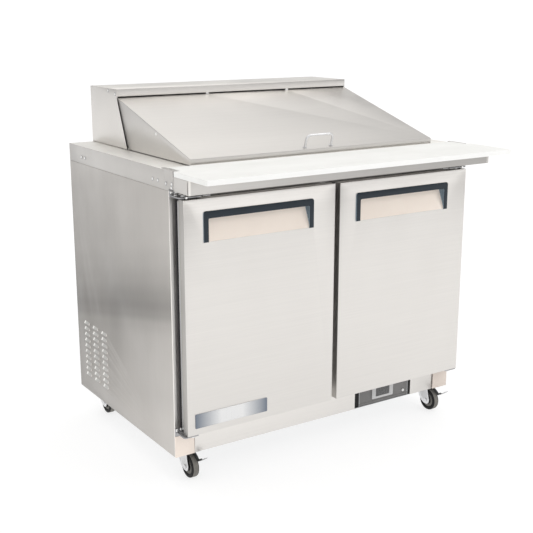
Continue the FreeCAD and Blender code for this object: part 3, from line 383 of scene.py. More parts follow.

# Directions and stops of the painted light and shade on the sheets, in metres and factors: lighter and darker
# stretches that stand in for shade, reflections and highlights
UPWARD = (0.0, 0.0, 1.0)
RIGHTWARD = (1.0, 0.0, 0.0)
BACKWARD = (0.0, 1.0, 0.0)
SIDE_SLANT = (0.0, 0.22, 1.0)
DOOR_PAINTED_LIGHT = ((0.83, 1.0), (0.868, 1.12), (0.876, 1.20), (0.883, 1.35), (0.90, 1.36))
# painted reflection on the side panels: a dark slanting band across the middle, lighter sheet above and below
SIDE_PAINTED_REFLECTION = ((0.12, 1.0), (0.25, 0.88), (0.41, 0.84), (0.455, 0.78), (0.487, 0.62), (0.515, 0.57),
              (0.545, 0.62), (0.60, 0.71), (0.66, 0.78), (0.72, 0.85), (0.84, 0.91), (0.90, 0.96),
              (1.0, 1.15))
# painted shade: the side panels darker towards the back
DEPTH_PAINTED_SHADE = ((-0.25, 1.16), (0.0, 0.99), (0.25, 0.87), (0.50, 0.80))
LID_PAINTED_LIGHT = ((0.97, 0.87), (1.02, 0.97), (1.13, 1.18))
LID_SIDE_PAINTED_SHADE = ((0.97, 0.88), (1.03, 0.78), (1.10, 0.66))
RAIL_PAINTED_SHADE = ((-0.5, 1.03), (0.30, 1.0), (0.46, 0.87))
SHELF_PAINTED_SHADE = ((-0.57, 1.02), (-0.35, 0.90), (-0.14, 0.80), (0.165, 0.73), (0.57, 0.71))
# painted highlights: a bright stretch on each column of louvres
LOUVRE_PAINTED_HIGHLIGHTS = ((0.258, 0.56), (0.262, 0.98), (0.285, 0.98), (0.290, 0.50), (0.330, 0.56), (0.334, 0.98),
                (0.357, 0.98), (0.362, 0.50), (0.402, 0.56), (0.406, 0.98), (0.420, 1.0))
# painted highlight: a bright strip at the left end of the shelf's front, darker across the rest
HEM_PAINTED_HIGHLIGHT = ((-0.561, 1.0), (-0.5572, 1.0), (-0.5552, 0.76), (0.561, 0.70))
FILM_PAINTED_SHADE = ((-0.5, 1.04), (0.5, 0.80))
badge_low, badge_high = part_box("name_plate")
LOOKS = {
    "level_steel": brushed("level_steel", STEEL, "X"),
    # door_steel to shelf_steel are copies of the one stainless steel, each made lighter or darker by part and
    # by face and given painted_light_tones, to stand in for how light falls on the cabinet and what its steel
    # reflects: painted light and shade.
    "door_steel": brushed("door_steel", shade(STEEL, 0.92), "X", painted_light_tones=[(UPWARD, DOOR_PAINTED_LIGHT)]),
    # painted light: the doors' tops lighter
    "door_top_lit_steel": brushed("door_top_lit_steel", shade(STEEL, 1.2), "X", rough=0.4),
    # painted shade: the doors' sides darker
    "door_side_shaded_steel": brushed("door_side_shaded_steel", shade(STEEL, 0.60), "Z", rough=0.36),
    "side_steel": brushed("side_steel", shade(WARM_STEEL, 0.66), "Z", rough=0.34,
                          painted_light_tones=[(SIDE_SLANT, SIDE_PAINTED_REFLECTION), (BACKWARD, DEPTH_PAINTED_SHADE)]),
    "back_steel": brushed("back_steel", shade(WARM_STEEL, 0.62), "Z", rough=0.34),
    # painted highlights: the louvres' slopes lighter, brightest in stretches along each column
    "louvre_highlit_steel": brushed("louvre_highlit_steel", shade(STEEL, 1.25), "Z", rough=0.4,
                            painted_light_tones=[(BACKWARD, LOUVRE_PAINTED_HIGHLIGHTS)]),
    # painted highlight: a bright strip at the left end of the shelf's front
    "hem_highlit_steel": brushed("hem_highlit_steel", shade(STEEL, 1.1), "Z", rough=0.4, painted_light_tones=[(RIGHTWARD, HEM_PAINTED_HIGHLIGHT)]),
    # painted highlight: the side panels' folded front edges lighter
    "fold_highlit_steel": brushed("fold_highlit_steel", shade(STEEL, 1.15), "Z", rough=0.36),
    "band_steel": brushed("band_steel", shade(STEEL, 0.67), "X"),
    # painted light: the worktop's top lighter
    "deck_lit_steel": brushed("deck_lit_steel", shade(STEEL, 1.22), "X", rough=0.42),
    "hood_steel": brushed("hood_steel", shade(STEEL, 0.87), "X"),
    # painted light: the hood's top lighter
    "hood_top_lit_steel": brushed("hood_top_lit_steel", shade(STEEL, 1.2), "X"),
    "hood_front_steel": brushed("hood_front_steel", shade(STEEL, 0.88), "X"),
    "lid_steel": brushed("lid_steel", shade(STEEL, 0.92), "X", painted_light_tones=[(UPWARD, LID_PAINTED_LIGHT)]),
    "lid_side_steel": brushed("lid_side_steel", shade(STEEL, 0.97), "X", painted_light_tones=[(UPWARD, LID_SIDE_PAINTED_SHADE)]),
    "rail_steel": brushed("rail_steel", shade(STEEL, 0.95), "X", painted_light_tones=[(RIGHTWARD, RAIL_PAINTED_SHADE)]),
    "shelf_steel": brushed("shelf_steel", shade(STEEL, 0.74), "X", painted_light_tones=[(RIGHTWARD, SHELF_PAINTED_SHADE)]),
    "bracket_steel": brushed("bracket_steel", shade(STEEL, 0.70), "Z", rough=0.36),
    # painted light: the cream film's two looks glow of their own, though they are no lamps, the pocket's more
    # strongly against the shade of its recess; the corner plates' film darker towards the right as painted
    # shade
    "filmed_steel": filmed("filmed_steel", (0.80, 0.71, 0.64), 0.12, [(RIGHTWARD, FILM_PAINTED_SHADE)]),
    "pocket_steel": filmed("pocket_steel", (0.78, 0.70, 0.63), 0.28),
    "galvanised": plated("galvanised", (0.60, 0.61, 0.62), 0.42),
    "plated": plated("plated", (0.80, 0.80, 0.81), 0.30),
    "dull_plated": plated("dull_plated", (0.42, 0.42, 0.43), 0.42),
    "fork_plate": plated("fork_plate", (0.68, 0.68, 0.68), 0.36),
    "bright": plated("bright", (0.95, 0.94, 0.93), 0.28),
    "handle_plastic": moulded("handle_plastic", (0.020, 0.030, 0.041), 0.46, shine=0.3),
    # painted reflection: the handle's end walls in a lighter, bluer copy of its plastic
    "handle_end_reflection_plastic": moulded("handle_end_reflection_plastic", (0.24, 0.33, 0.41), 0.35),
    "control_plastic": moulded("control_plastic", (0.185, 0.181, 0.178), 0.5),
    "bezel_plastic": moulded("bezel_plastic", (0.60, 0.60, 0.60), 0.45),
    # painted highlight: the pale lines beside the control panel's end grooves
    "highlight_line_plastic": moulded("highlight_line_plastic", (0.36, 0.37, 0.38), 0.4),
    "button_plastic": moulded("button_plastic", (0.84, 0.84, 0.83), 0.35),
    "board_plastic": board_plastic("board_plastic", (0.89, 0.89, 0.865), (0.96, 0.96, 0.94)),
    # painted light: a lighter copy of the board's plastic, for its front faces
    "board_edge_lit_plastic": board_plastic("board_edge_lit_plastic", (0.95, 0.95, 0.935), (0.99, 0.99, 0.975)),
    "seal": rubber("seal", (0.040, 0.038, 0.043)),
    "tyre": rubber("tyre", (0.010, 0.010, 0.010), 0.6),
    "tread": rubber("tread", (0.18, 0.172, 0.158), 0.7),
    "badge": badge_metal("badge", badge_low, badge_high),
    "clear_plastic": clear_plastic("clear_plastic"),
    "foam": foam("foam"),
    "stucco_sheet": stucco_sheet("stucco_sheet"),
    "black_paint": painted("black_paint", (0.018, 0.018, 0.019), 0.42),
    "white_coat": painted("white_coat", (0.80, 0.80, 0.79), 0.35),
    "copper": plated("copper", (0.74, 0.40, 0.27), 0.28),
    "fins": plated("fins", (0.70, 0.71, 0.72), 0.36),
    "display": dark_display("display"),
}

LOOK_OF_SLOT = {
    "side_steel": "side_steel",
    "stainless": "level_steel",
    "bracket_steel": "bracket_steel",
    "galvanised": "galvanised",
    "frame_steel": "level_steel",
    "liner_sheet": "stucco_sheet",
    "foam": "foam",
    "pan_plastic": "clear_plastic",
    "hinge_steel": "bright",
    "control_plastic": "control_plastic",
    "button_plastic": "button_plastic",
    "badge_metal": "badge",
    "handle_plastic": "handle_plastic",
    "seal": "seal",
    "board_plastic": "board_plastic",
    "fins": "fins",
    "fan_plastic": "black_paint",
    "motor_steel": "black_paint",
    "copper": "copper",
    "coated_wire": "white_coat",
    "shelf_strip": "plated",
    "caster_steel": "plated",
    "caster_tread": "tyre",
    "pedal_steel": "black_paint",
}


# Pieces


def paint(piece, look):
    """Gives a piece one of the looks."""
    if piece.material_slots:
        for material_slot in piece.material_slots:
            material_slot.material = LOOKS[look]
    else:
        piece.data.materials.append(LOOKS[look])


def repaint(piece, look, chosen):
    """Gives another look to the faces that chosen(normal, centre) picks."""
    piece.data.materials.append(LOOKS[look])
    index = len(piece.data.materials) - 1
    for face in piece.data.polygons:
        if chosen(face.normal, face.center):
            face.material_index = index


def piece_from(name, bm, body, slot, *looks):
    """New piece from a bmesh, riding on a body, in one or more looks."""
    bmesh.ops.recalc_face_normals(bm, faces=bm.faces)
    mesh = bpy.data.meshes.new(name)
    bm.to_mesh(mesh)
    bm.free()
    piece = bpy.data.objects.new(name, mesh)
    bpy.context.scene.collection.objects.link(piece)
    for look in looks:
        mesh.materials.append(LOOKS[look])
    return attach(piece, body)


def smooth(piece, degrees=35.0):
    """Smooth shading, with an edge kept wherever faces meet more sharply than the angle."""
    bm = bmesh.new()
    bm.from_mesh(piece.data)
    for face in bm.faces:
        face.smooth = True
    for edge in bm.edges:
        edge.smooth = len(edge.link_faces) == 2 and edge.calc_face_angle() < math.radians(degrees)
    bm.to_mesh(piece.data)
    bm.free()
    return piece


def apply_modifiers(piece):
    """Puts the modifiers' result into the mesh."""
    depsgraph = bpy.context.evaluated_depsgraph_get()
    piece.data = bpy.data.meshes.new_from_object(piece.evaluated_get(depsgraph))
    piece.modifiers.clear()
    return piece


def formed(node, look, radius):
    """The CAD piece again, with folds and cut edges rounded by radius mm, in place of the sharp one."""
    bm = bmesh.new()
    bm.from_mesh(NODES[node].data)
    bmesh.ops.remove_doubles(bm, verts=bm.verts, dist=1e-6)
    bmesh.ops.dissolve_limit(bm, angle_limit=math.radians(0.5), verts=bm.verts, edges=bm.edges)
    piece = piece_from(node + "_formed", bm, NODES[node]["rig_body"], SLOT_OF[node], look)
    bevel = piece.modifiers.new("soft_edges", "BEVEL")
    bevel.width = radius * MM
    bevel.segments = 2
    bevel.limit_method = "ANGLE"
    bevel.angle_limit = math.radians(40)
    bevel.use_clamp_overlap = True
    apply_modifiers(piece)
    smooth(piece, 50)
    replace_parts(piece, node)
    return piece


def rings(bm, sections):
    """Joins rings of points, all of the same count, with quads, and caps the first and the last."""
    rows = [[bm.verts.new(point) for point in section] for section in sections]
    count = len(rows[0])
    for low, high in zip(rows, rows[1:]):
        for i in range(count):
            j = (i + 1) % count
            bm.faces.new((low[i], low[j], high[j], high[i]))
    bm.faces.new(rows[0])
    bm.faces.new(list(reversed(rows[-1])))


def turned(bm, profile, centre, axis, count=64):
    """Solid of revolution; profile holds (distance along axis, radius) pairs in mm, end to end."""
    axis = Vector(axis).normalized()
    side = axis.orthogonal().normalized()
    other = axis.cross(side)
    sections = []
    for along, radius in profile:
        middle = Vector(centre) + axis * along * MM
        turn = [2 * math.pi * i / count for i in range(count)]
        sections.append([middle + (side * math.cos(t) + other * math.sin(t)) * radius * MM for t in turn])
    rings(bm, sections)


def swept_ring(bm, outline, low, high):
    """Mitred frame round a rectangle in X and Z: outline holds (inset, y) pairs of its section, in metres."""
    corners = []
    for inset, y in outline:
        x0, x1, z0, z1 = low.x + inset, high.x - inset, low.z + inset, high.z - inset
        corners.append([Vector((x0, y, z0)), Vector((x1, y, z0)), Vector((x1, y, z1)), Vector((x0, y, z1))])
    rows = [[bm.verts.new(point) for point in row] for row in corners]
    for near, far in zip(rows, rows[1:] + rows[:1]):
        for i in range(4):
            j = (i + 1) % 4
            bm.faces.new((near[i], near[j], far[j], far[i]))


def gasket(hand):
    """Magnetic door seal: a clip at the door, a bellows with two folds, and a flat magnet face."""
    node = f"door_gasket_{hand}"
    low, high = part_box(node)
    depth = high.y - low.y
    wide = 14 * MM
    half = [(1.0, 0.0), (1.0, 0.16), (0.80, 0.20), (0.90, 0.32), (0.76, 0.42), (0.90, 0.54), (0.84, 0.64),
            (1.0, 0.70), (1.0, 0.97), (0.95, 1.0)]
    shape = half + [(1 - u, v) for u, v in reversed(half)]
    bm = bmesh.new()
    swept_ring(bm, [(u * wide, low.y + v * depth) for u, v in shape], low, high)
    piece = piece_from(f"door_seal_{hand}", bm, f"{hand}_door", "seal", "seal")
    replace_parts(smooth(piece, 60), node)


def liner_dish(hand):
    """Raised dish of the door's inner liner, inside the ring of the seal."""
    low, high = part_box(f"door_core_{hand}")
    corner = 18 * MM
    steps = ((34 * MM, 0.0), (40 * MM, 5 * MM), (46 * MM, 6 * MM))
    bm = bmesh.new()
    rings(bm, [rounded_outline(low, high, inset, corner, high.y + up) for inset, up in steps])
    smooth(piece_from(f"door_liner_dish_{hand}", bm, f"{hand}_door", "foam", "stucco_sheet"), 40)


def rounded_outline(low, high, inset, radius, y):
    """Points round an X-Z rectangle inset from a box, with rounded corners, at depth y."""
    steps = 8
    x0, x1, z0, z1 = low.x + inset, high.x - inset, low.z + inset, high.z - inset
    centres = [(x1 - radius, z1 - radius, 0), (x0 + radius, z1 - radius, 1), (x0 + radius, z0 + radius, 2),
               (x1 - radius, z0 + radius, 3)]
    points = []
    for x, z, quarter in centres:
        for i in range(steps + 1):
            turn = math.pi / 2 * (quarter + i / steps)
            points.append(Vector((x + radius * math.cos(turn), y, z + radius * math.sin(turn))))
    return points


def loose_parts(node):
    """(lowest, highest) corner of each separate solid of a CAD node."""
    bm = bmesh.new()
    bm.from_mesh(NODES[node].data)
    bmesh.ops.remove_doubles(bm, verts=bm.verts, dist=1e-6)
    left = set(bm.verts)
    found = []
    while left:
        group, reach = [], [left.pop()]
        while reach:
            vert = reach.pop()
            group.append(vert.co.copy())
            for edge in vert.link_edges:
                other = edge.other_vert(vert)
                if other in left:
                    left.remove(other)
                    reach.append(other)
        found.append([Vector([pick(point[i] for point in group) for i in range(3)]) for pick in (min, max)])
    bm.free()
    return sorted(found, key=lambda corners: tuple(corners[0]))


def screw_head(bm, centre, outward, radius, height):
    """Domed head with a cross recess, facing outward; it stands on its foot at centre."""
    flat, roundness = 0.35, 2.6
    cross_half, cross_reach, cross_depth = 0.13, 0.58, 0.5
    outward = Vector(outward)
    side = outward.orthogonal().normalized()
    other = outward.cross(side)
    count, levels = 32, 9
    rows = []
    for level in range(levels + 1):
        share = 1 - level / (levels + flat)
        row = []
        for i in range(count):
            turn = 2 * math.pi * i / count
            u, v = share * math.cos(turn), share * math.sin(turn)
            up = height * math.sqrt(max(0.0, 1 - share ** roundness)) if level else 0.0
            in_cross = min(abs(u), abs(v)) < cross_half and max(abs(u), abs(v)) < cross_reach
            up -= cross_depth * height if in_cross and level else 0.0
            row.append(centre + side * u * radius + other * v * radius + outward * up)
        rows.append(row)
    rings(bm, rows)


def screws():
    """Pan heads of the band, the hood and the end brackets, on dull washers darker than the heads, a painted
    shade round each head, one piece for each side.
    """
    washer = [(-0.2, 6.0), (0.3, 6.0), (0.5, 5.6)]
    for sign, hand in ((-1, "left"), (1, "right")):
        bm, washers = bmesh.new(), bmesh.new()
        for low, high in loose_parts("pan_head_screws"):
            middle = (low + high) / 2
            if middle.x * sign < 0:
                continue
            foot = Vector((low.x if sign > 0 else high.x, middle.y, middle.z))
            screw_head(bm, foot, (sign, 0, 0), (high.y - low.y) / 2, high.x - low.x)
            turned(washers, washer, foot, (sign, 0, 0), 32)
        piece_from(f"screw_shade_washers_{hand}", washers, "root", "hinge_steel", "dull_plated")
        piece = smooth(piece_from(f"cross_head_screws_{hand}", bm, "root", "hinge_steel", "bright"), 40)
        if hand == "left":
            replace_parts(piece, "pan_head_screws")


def lid_rivets():
    """Domed rivet near the sloping edge of each side of the lid."""
    low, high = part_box("lid_shell")
    share_back, share_up = 0.443, 0.436
    y = low.y + share_back * (high.y - low.y)
    z = low.z + share_up * (high.z - low.z)
    dome = [(-1.0, 4.8), (0.0, 4.8), (1.0, 4.2), (1.8, 2.8), (2.1, 1.0)]
    for sign, hand, x in ((-1, "left", low.x), (1, "right", high.x)):
        bm = bmesh.new()
        turned(bm, dome, (x, y, z), (sign, 0, 0), 28)
        smooth(piece_from(f"lid_rivet_{hand}", bm, "lid", "hinge_steel", "bright"), 50)


def wheel(row, hand):
    """Caster wheel: black hub and side walls with a grey tread, dished sides and a long hub."""
    node = f"caster_wheel_{row}_{hand}"
    low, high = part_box(node)
    centre = (low + high) / 2
    radius = (high.z - low.z) / 2 / MM
    hub = (high.x - low.x) / 2 / MM
    half = 12.0
    body = f"wheel_{row}_{hand}"
    core = [(-hub, 4.1), (-hub, 8.2), (-hub + 0.8, 9.0), (-8.2, 9.0), (-8.0, 10.6), (-11.0, 12.5),
            (-11.4, 14.5), (-8.6, 17.0), (-8.4, 25.0), (-10.8, 27.5), (-half + 0.2, 28.5), (-half, 30.0),
            (-half + 0.2, radius - 3.4), (-half + 1.2, radius - 1.2), (-half + 3.4, radius - 0.1)]
    profile = core + [(-along, r) for along, r in reversed(core)]
    bm = bmesh.new()
    turned(bm, profile, centre, (1, 0, 0), 72)
    smooth(piece_from(f"wheel_core_{row}_{hand}", bm, body, "caster_tread", "tyre"), 30)
    band = half - 3.2
    tread = [(-band, radius - 0.6), (-band + 0.5, radius - 0.05), (-band + 1.5, radius), (band - 1.5, radius),
             (band - 0.5, radius - 0.05), (band, radius - 0.6)]
    bm = bmesh.new()
    turned(bm, tread, centre, (1, 0, 0), 72)
    piece = piece_from(f"wheel_tread_{row}_{hand}", bm, body, "caster_tread", "tread")
    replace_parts(smooth(piece, 30), node)


def handle_ribs(hand):
    """Shallow upright ribs on the two end walls inside the handle's recess."""
    low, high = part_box(f"door_handle_{hand}")
    wall = 12.8 * MM
    first, pitch, count = 5.0 * MM, 5.2 * MM, 5
    top, pocket_foot = high.z - 22 * MM, high.z - 82 * MM
    pocket_slope, shortest = 2.1, 6 * MM
    bm = bmesh.new()
    for sign, x in ((1, low.x + wall), (-1, high.x - wall)):
        out = 0.7 * MM * sign
        section = [(0.0, 0.0), (out, 0.5 * MM), (out, 1.3 * MM), (0.0, 1.8 * MM)]
        for i in range(count):
            inward = first + pitch * i
            foot = pocket_foot + pocket_slope * inward
            if foot < top - shortest:
                rings(bm, [[Vector((x + u, low.y + inward + v, z)) for u, v in section] for z in (foot, top)])
    piece_from(f"handle_ribs_{hand}", bm, f"{hand}_door", "handle_plastic", "handle_plastic")


def badge():
    """Blank badge: a domed plate with a thin raised rim. Levels are (inset, height) pairs in mm."""
    low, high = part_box("name_plate")
    corner = 3 * MM
    levels = ((0.0, 0.0), (0.0, 0.9), (0.6, 1.5), (1.6, 1.5), (2.2, 1.1), (5.0, 1.2), (14.0, 1.3))
    bm = bmesh.new()
    rings(bm, [rounded_outline(low, high, inset * MM, corner, high.y - up * MM) for inset, up in levels])
    piece = smooth(piece_from("blank_badge", bm, "left_door", "badge_metal", "badge"), 40)
    repaint(piece, "dull_plated", lambda normal, centre: normal.y > -0.5)
    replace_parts(piece, "name_plate")


def board_edge():
    """The board's own mesh with its front faces in a lighter copy of its plastic than its top, as painted
    light.
    """
    repaint(NODES["cutting_board"], "board_edge_lit_plastic", faces_front)


def slab(bm, low, high, chamfer):
    """Plate facing -Y between two corners, with its front edges cut back by chamfer."""
    corners = ((low.x, low.z), (high.x, low.z), (high.x, high.z), (low.x, high.z))
    inner = ((low.x + chamfer, low.z + chamfer), (high.x - chamfer, low.z + chamfer),
             (high.x - chamfer, high.z - chamfer), (low.x + chamfer, high.z - chamfer))
    rows = [[Vector((x, y, z)) for x, z in outline]
            for outline, y in ((corners, high.y), (corners, low.y + chamfer), (inner, low.y))]
    rings(bm, rows)


def control_strips():
    """Black strips in the grooves at the ends of the control panel, painted shade that stands in for the
    shade in those grooves, and a pale line beside each, a painted highlight on the groove's edge.
    """
    low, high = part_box("control_housing")
    face = low.y + 1.6 * MM
    grooves = ((2.0, 19.4), (238.6, 244.4))
    lines = ((20.6, 23.2), (233.4, 236.2))
    margin, chamfer = 0.6 * MM, 0.4 * MM
    dark, pale = bmesh.new(), bmesh.new()
    for bm, stretches, front, back in ((dark, grooves, 0.0, 2.8), (pale, lines, -0.7, 0.2)):
        for start, end in stretches:
            slab(bm, Vector((low.x + start * MM, face + front * MM, low.z + margin)),
                 Vector((low.x + end * MM, face + back * MM, high.z - margin)), chamfer)
    piece_from("control_groove_shade", dark, "root", "control_plastic", "tyre")
    piece_from("control_edge_highlights", pale, "root", "control_plastic", "highlight_line_plastic")


def foot_bolts():
    """Domed bolts that hold the feet of the left and right door brackets to the cabinet's front."""
    low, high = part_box("door_hinge_brackets")
    dome = [(-0.4, 5.0), (0.6, 5.0), (1.8, 4.2), (2.6, 2.8), (2.9, 1.0)]
    foot_face = high.y - 3.4 * MM
    lower = [(543, low.z + 19 * MM), (529, low.z + 20 * MM)]
    upper = [(543, high.z - 9 * MM), (530, high.z - 12 * MM)]
    bm = bmesh.new()
    for sign in (-1, 1):
        for x, z in lower + upper:
            turned(bm, dome, (sign * x * MM, foot_face, z), (0, -1, 0), 28)
    smooth(piece_from("bracket_foot_bolts", bm, "root", "hinge_steel", "bright"), 40)


def fork_panels(row, hand):
    """Raised panel on each leg of a fork; its outline holds (y, z) points in mm from the axle."""
    low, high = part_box(f"caster_wheel_{row}_{hand}")
    axle = (low + high) / 2
    leg_face = 17.5 * MM
    outline = [(38, 42), (31, 20), (22, 8), (10, -2), (0, -5), (-8, -2), (-10, 8), (-5, 24), (1, 42)]
    middle = Vector((14, 20))
    levels = ((-0.3, 1.0), (0.3, 1.0), (0.9, 0.86), (0.9, 0.60))
    for sign, side in ((-1, "outer"), (1, "inner")):
        x = axle.x + sign * leg_face
        bm = bmesh.new()
        rows = []
        for up, shrink in levels:
            points = [middle + (Vector(point) - middle) * shrink for point in outline]
            rows.append([Vector((x + sign * up * MM, axle.y + a * MM, axle.z + b * MM)) for a, b in points])
        rings(bm, rows)
        name = f"fork_panel_{row}_{hand}_{side}"
        smooth(piece_from(name, bm, f"fork_{row}_{hand}", "caster_steel", "fork_plate"), 30)


def controller_window():
    """Window of the controller, set in its pale bezel."""
    low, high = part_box("controller")
    face = low.y + 2.2 * MM
    beside, under, over, corner = 13 * MM, 7 * MM, 2 * MM, 2 * MM
    inner_low = Vector((low.x + beside, face, low.z + under))
    inner_high = Vector((high.x - beside, face, high.z - over))
    levels = ((0.0, 0.6), (0.0, 0.0), (0.8, -0.4))
    bm = bmesh.new()
    rings(bm, [rounded_outline(inner_low, inner_high, a * MM, corner, face + b * MM) for a, b in levels])
    smooth(piece_from("controller_window", bm, "root", "control_plastic", "display"), 40)


def pivot_bolts():
    """Hexagon heads on the pivot pins, under the lower door brackets and over the upper ones."""
    head = [(-0.4, 8.2), (0.6, 8.2), (0.7, 6.2), (3.4, 6.2), (4.0, 5.4)]
    pin_x, pin_back = 526 * MM, 14 * MM
    over_upper, under_lower = 28 * MM, 10 * MM
    mid_height = 0.5
    for index, (low, high) in enumerate(loose_parts("door_hinge_brackets")):
        middle = (low + high) / 2
        x = math.copysign(pin_x, middle.x)
        y = low.y + pin_back
        upper = middle.z > mid_height
        plate = low.z + (over_upper if upper else under_lower)
        sign = 1 if upper else -1
        bm = bmesh.new()
        turned(bm, head, (x, y, plate), (0, 0, sign), 6)
        piece_from(f"pivot_bolt_{index + 1}", bm, "root", "bracket_steel", "plated")


def hinge_details():
    """Bolts, pin ends and ridged springs of the upper door brackets, and a nut under each lower one."""
    low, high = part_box("door_hinge_brackets")
    upper_low, _ = max(loose_parts("door_hinge_brackets"), key=lambda corners: corners[0].z)
    plate_top = high.z - 17 * MM
    front = upper_low.y
    middle = plate_top - 2 * MM
    dome = [(-0.3, 5.0), (0.8, 5.0), (2.6, 4.2), (3.6, 2.8), (4.0, 1.0)]
    pin_end = [(-0.3, 3.6), (2.4, 3.6), (3.0, 3.0)]
    spring = [(i, 3.4 if i % 2 else 2.2) for i in range(27)]
    nut = [(-0.3, 6.4), (0.4, 6.4), (4.2, 6.0), (4.8, 5.2)]
    bolts = ((537 * MM, front + 38 * MM), (519 * MM, front + 46 * MM))
    pin_x, spring_x, nut_x = 524 * MM, 469 * MM, 512 * MM
    lower_plate = low.z + 10 * MM
    bright, dull = bmesh.new(), bmesh.new()
    for sign in (-1, 1):
        for x, y in bolts:
            turned(bright, dome, (sign * x, y, plate_top), (0, 0, 1), 28)
        turned(bright, pin_end, (sign * pin_x, front, middle), (0, -1, 0), 24)
        turned(dull, spring, (sign * spring_x, front + 6 * MM, middle), (-sign, 0, 0), 20)
        turned(bright, nut, (sign * nut_x, front + 9 * MM, lower_plate), (0, 0, -1), 6)
    smooth(piece_from("hinge_bolts", bright, "root", "hinge_steel", "bright"), 35)
    smooth(piece_from("hinge_springs", dull, "root", "hinge_steel", "plated"), 20)


def apron_shade_strips():
    """Black strip on the apron at each end, in the joint between the band and the board shelf: painted shade,
    standing in for the shade in that joint.
    """
    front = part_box("door_opening_frame")[0].y
    shelf_low, shelf_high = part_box("board_shelf")
    inner, outer = 520 * MM, 538 * MM
    bm = bmesh.new()
    for sign in (-1, 1):
        left, right = sorted((sign * inner, sign * outer))
        slab(bm, Vector((left, front - 2.8 * MM, shelf_low.z + 1 * MM)),
             Vector((right, front - 1.2 * MM, shelf_high.z - 2 * MM)), 0.4 * MM)
    piece_from("apron_painted_shade", bm, "root", "seal", "seal")


def cover_screws():
    """Row of cross-head screws along the top and the foot of the machine cover at the back."""
    low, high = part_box("machine_cover")
    count, margin = 5, 14 * MM
    pitch = (high.x - low.x - 2 * margin) / (count - 1)
    radius, height = 4.2 * MM, 2.2 * MM
    bm = bmesh.new()
    for z in (low.z + 12 * MM, high.z - 8 * MM):
        for i in range(count):
            screw_head(bm, Vector((low.x + margin + pitch * i, high.y, z)), (0, 1, 0), radius, height)
    smooth(piece_from("machine_cover_screws", bm, "root", "hinge_steel", "bright"), 40)


FORMED = {
    "side_panel_left": ("side_steel", 0.4),
    "side_panel_right": ("side_steel", 0.4),
    "back_panel": ("back_steel", 0.5),
    "worktop": ("band_steel", 0.55),
    "hood_housing": ("hood_steel", 0.55),
    "lid_shell": ("lid_steel", 0.55),
    "door_skin_left": ("door_steel", 0.5),
    "door_skin_right": ("door_steel", 0.5),
    "door_core_left": ("stucco_sheet", 1.5),
    "door_core_right": ("stucco_sheet", 1.5),
    "lid_core": ("stucco_sheet", 1.5),
    "kick_rail": ("rail_steel", 0.5),
    "kick_corner_plates": ("filmed_steel", 0.5),
    "board_shelf": ("shelf_steel", 0.6),
    "board_end_brackets": ("bracket_steel", 0.5),
    "door_hinge_brackets": ("dull_plated", 0.6),
    "control_housing": ("control_plastic", 0.5),
    "controller": ("bezel_plastic", 0.5),
    "door_handle_left": ("handle_plastic", 0.8),
    "door_handle_right": ("handle_plastic", 0.8),
    "brake_pedal_left": ("black_paint", 0.5),
    "brake_pedal_right": ("black_paint", 0.5),
    "caster_plates": ("plated", 0.6),
    "caster_fork_front_left": ("plated", 0.5),
    "caster_fork_front_right": ("plated", 0.5),
    "caster_fork_rear_left": ("plated", 0.5),
    "caster_fork_rear_right": ("plated", 0.5),
}


def faces_up(normal, centre):
    return normal.z > 0.8


def faces_front(normal, centre):
    return normal.y < -0.6


def faces_sideways(normal, centre):
    return abs(normal.x) > 0.8


def in_pocket(low, high):
    """Picks the sloping faces of a door's pocket, between the corners of its handle."""
    def chosen(normal, centre):
        inside = low.x < centre.x < high.x and low.z - 2 * MM < centre.z < high.z
        return inside and centre.y > low.y + 2.5 * MM and normal.y < -0.3
    return chosen


def in_front_of(y):
    """Picks the faces in front of a plane."""
    return lambda normal, centre: centre.y < y


def louvre_slopes(x):
    """Picks the sloping outer sides of the louvres, which stand out past x."""
    return lambda normal, centre: centre.x < x and normal.x < -0.3 and normal.z > 0.1


def second_looks(pieces):
    """Looks of single faces: tops, fronts, sides, folds and ends made lighter or darker as painted light and
    shade, painted highlights and reflections; the pockets in their cream film with a painted glow; and the
    dull plated tip of each brake pedal.
    """
    repaint(pieces["worktop"], "deck_lit_steel", faces_up)
    repaint(pieces["hood_housing"], "hood_top_lit_steel", faces_up)
    shelf_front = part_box("board_shelf")[0].y
    repaint(pieces["board_shelf"], "hem_highlit_steel", in_front_of(shelf_front + 0.8 * MM))
    panel_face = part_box("worktop")[0].x
    repaint(pieces["side_panel_left"], "louvre_highlit_steel", louvre_slopes(panel_face - 0.3 * MM))
    repaint(pieces["hood_housing"], "hood_front_steel", faces_front)
    repaint(pieces["lid_shell"], "lid_side_steel", faces_sideways)
    for hand in HANDS:
        repaint(pieces[f"side_panel_{hand}"], "fold_highlit_steel", lambda normal, centre: normal.y < -0.12)
        repaint(pieces[f"door_skin_{hand}"], "door_side_shaded_steel", faces_sideways)
        repaint(pieces[f"door_skin_{hand}"], "door_top_lit_steel", faces_up)
        repaint(pieces[f"door_skin_{hand}"], "pocket_steel", in_pocket(*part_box(f"door_handle_{hand}")))
        repaint(pieces[f"door_handle_{hand}"], "handle_end_reflection_plastic", faces_sideways)
        low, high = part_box(f"brake_pedal_{hand}")
        repaint(pieces[f"brake_pedal_{hand}"], "dull_plated", in_front_of(low.y + 0.42 * (high.y - low.y)))


def build_pieces():
    """Every piece that stands in for a CAD node or adds to one."""
    second_looks({node: formed(node, look, radius) for node, (look, radius) in FORMED.items()})
    board_edge()
    control_strips()
    for hand in HANDS:
        gasket(hand)
        liner_dish(hand)
        handle_ribs(hand)
        for row in ROWS:
            wheel(row, hand)
            fork_panels(row, hand)
    screws()
    lid_rivets()
    badge()
    controller_window()
    pivot_bolts()
    foot_bolts()
    hinge_details()
    apron_shade_strips()
    cover_screws()


# Studio


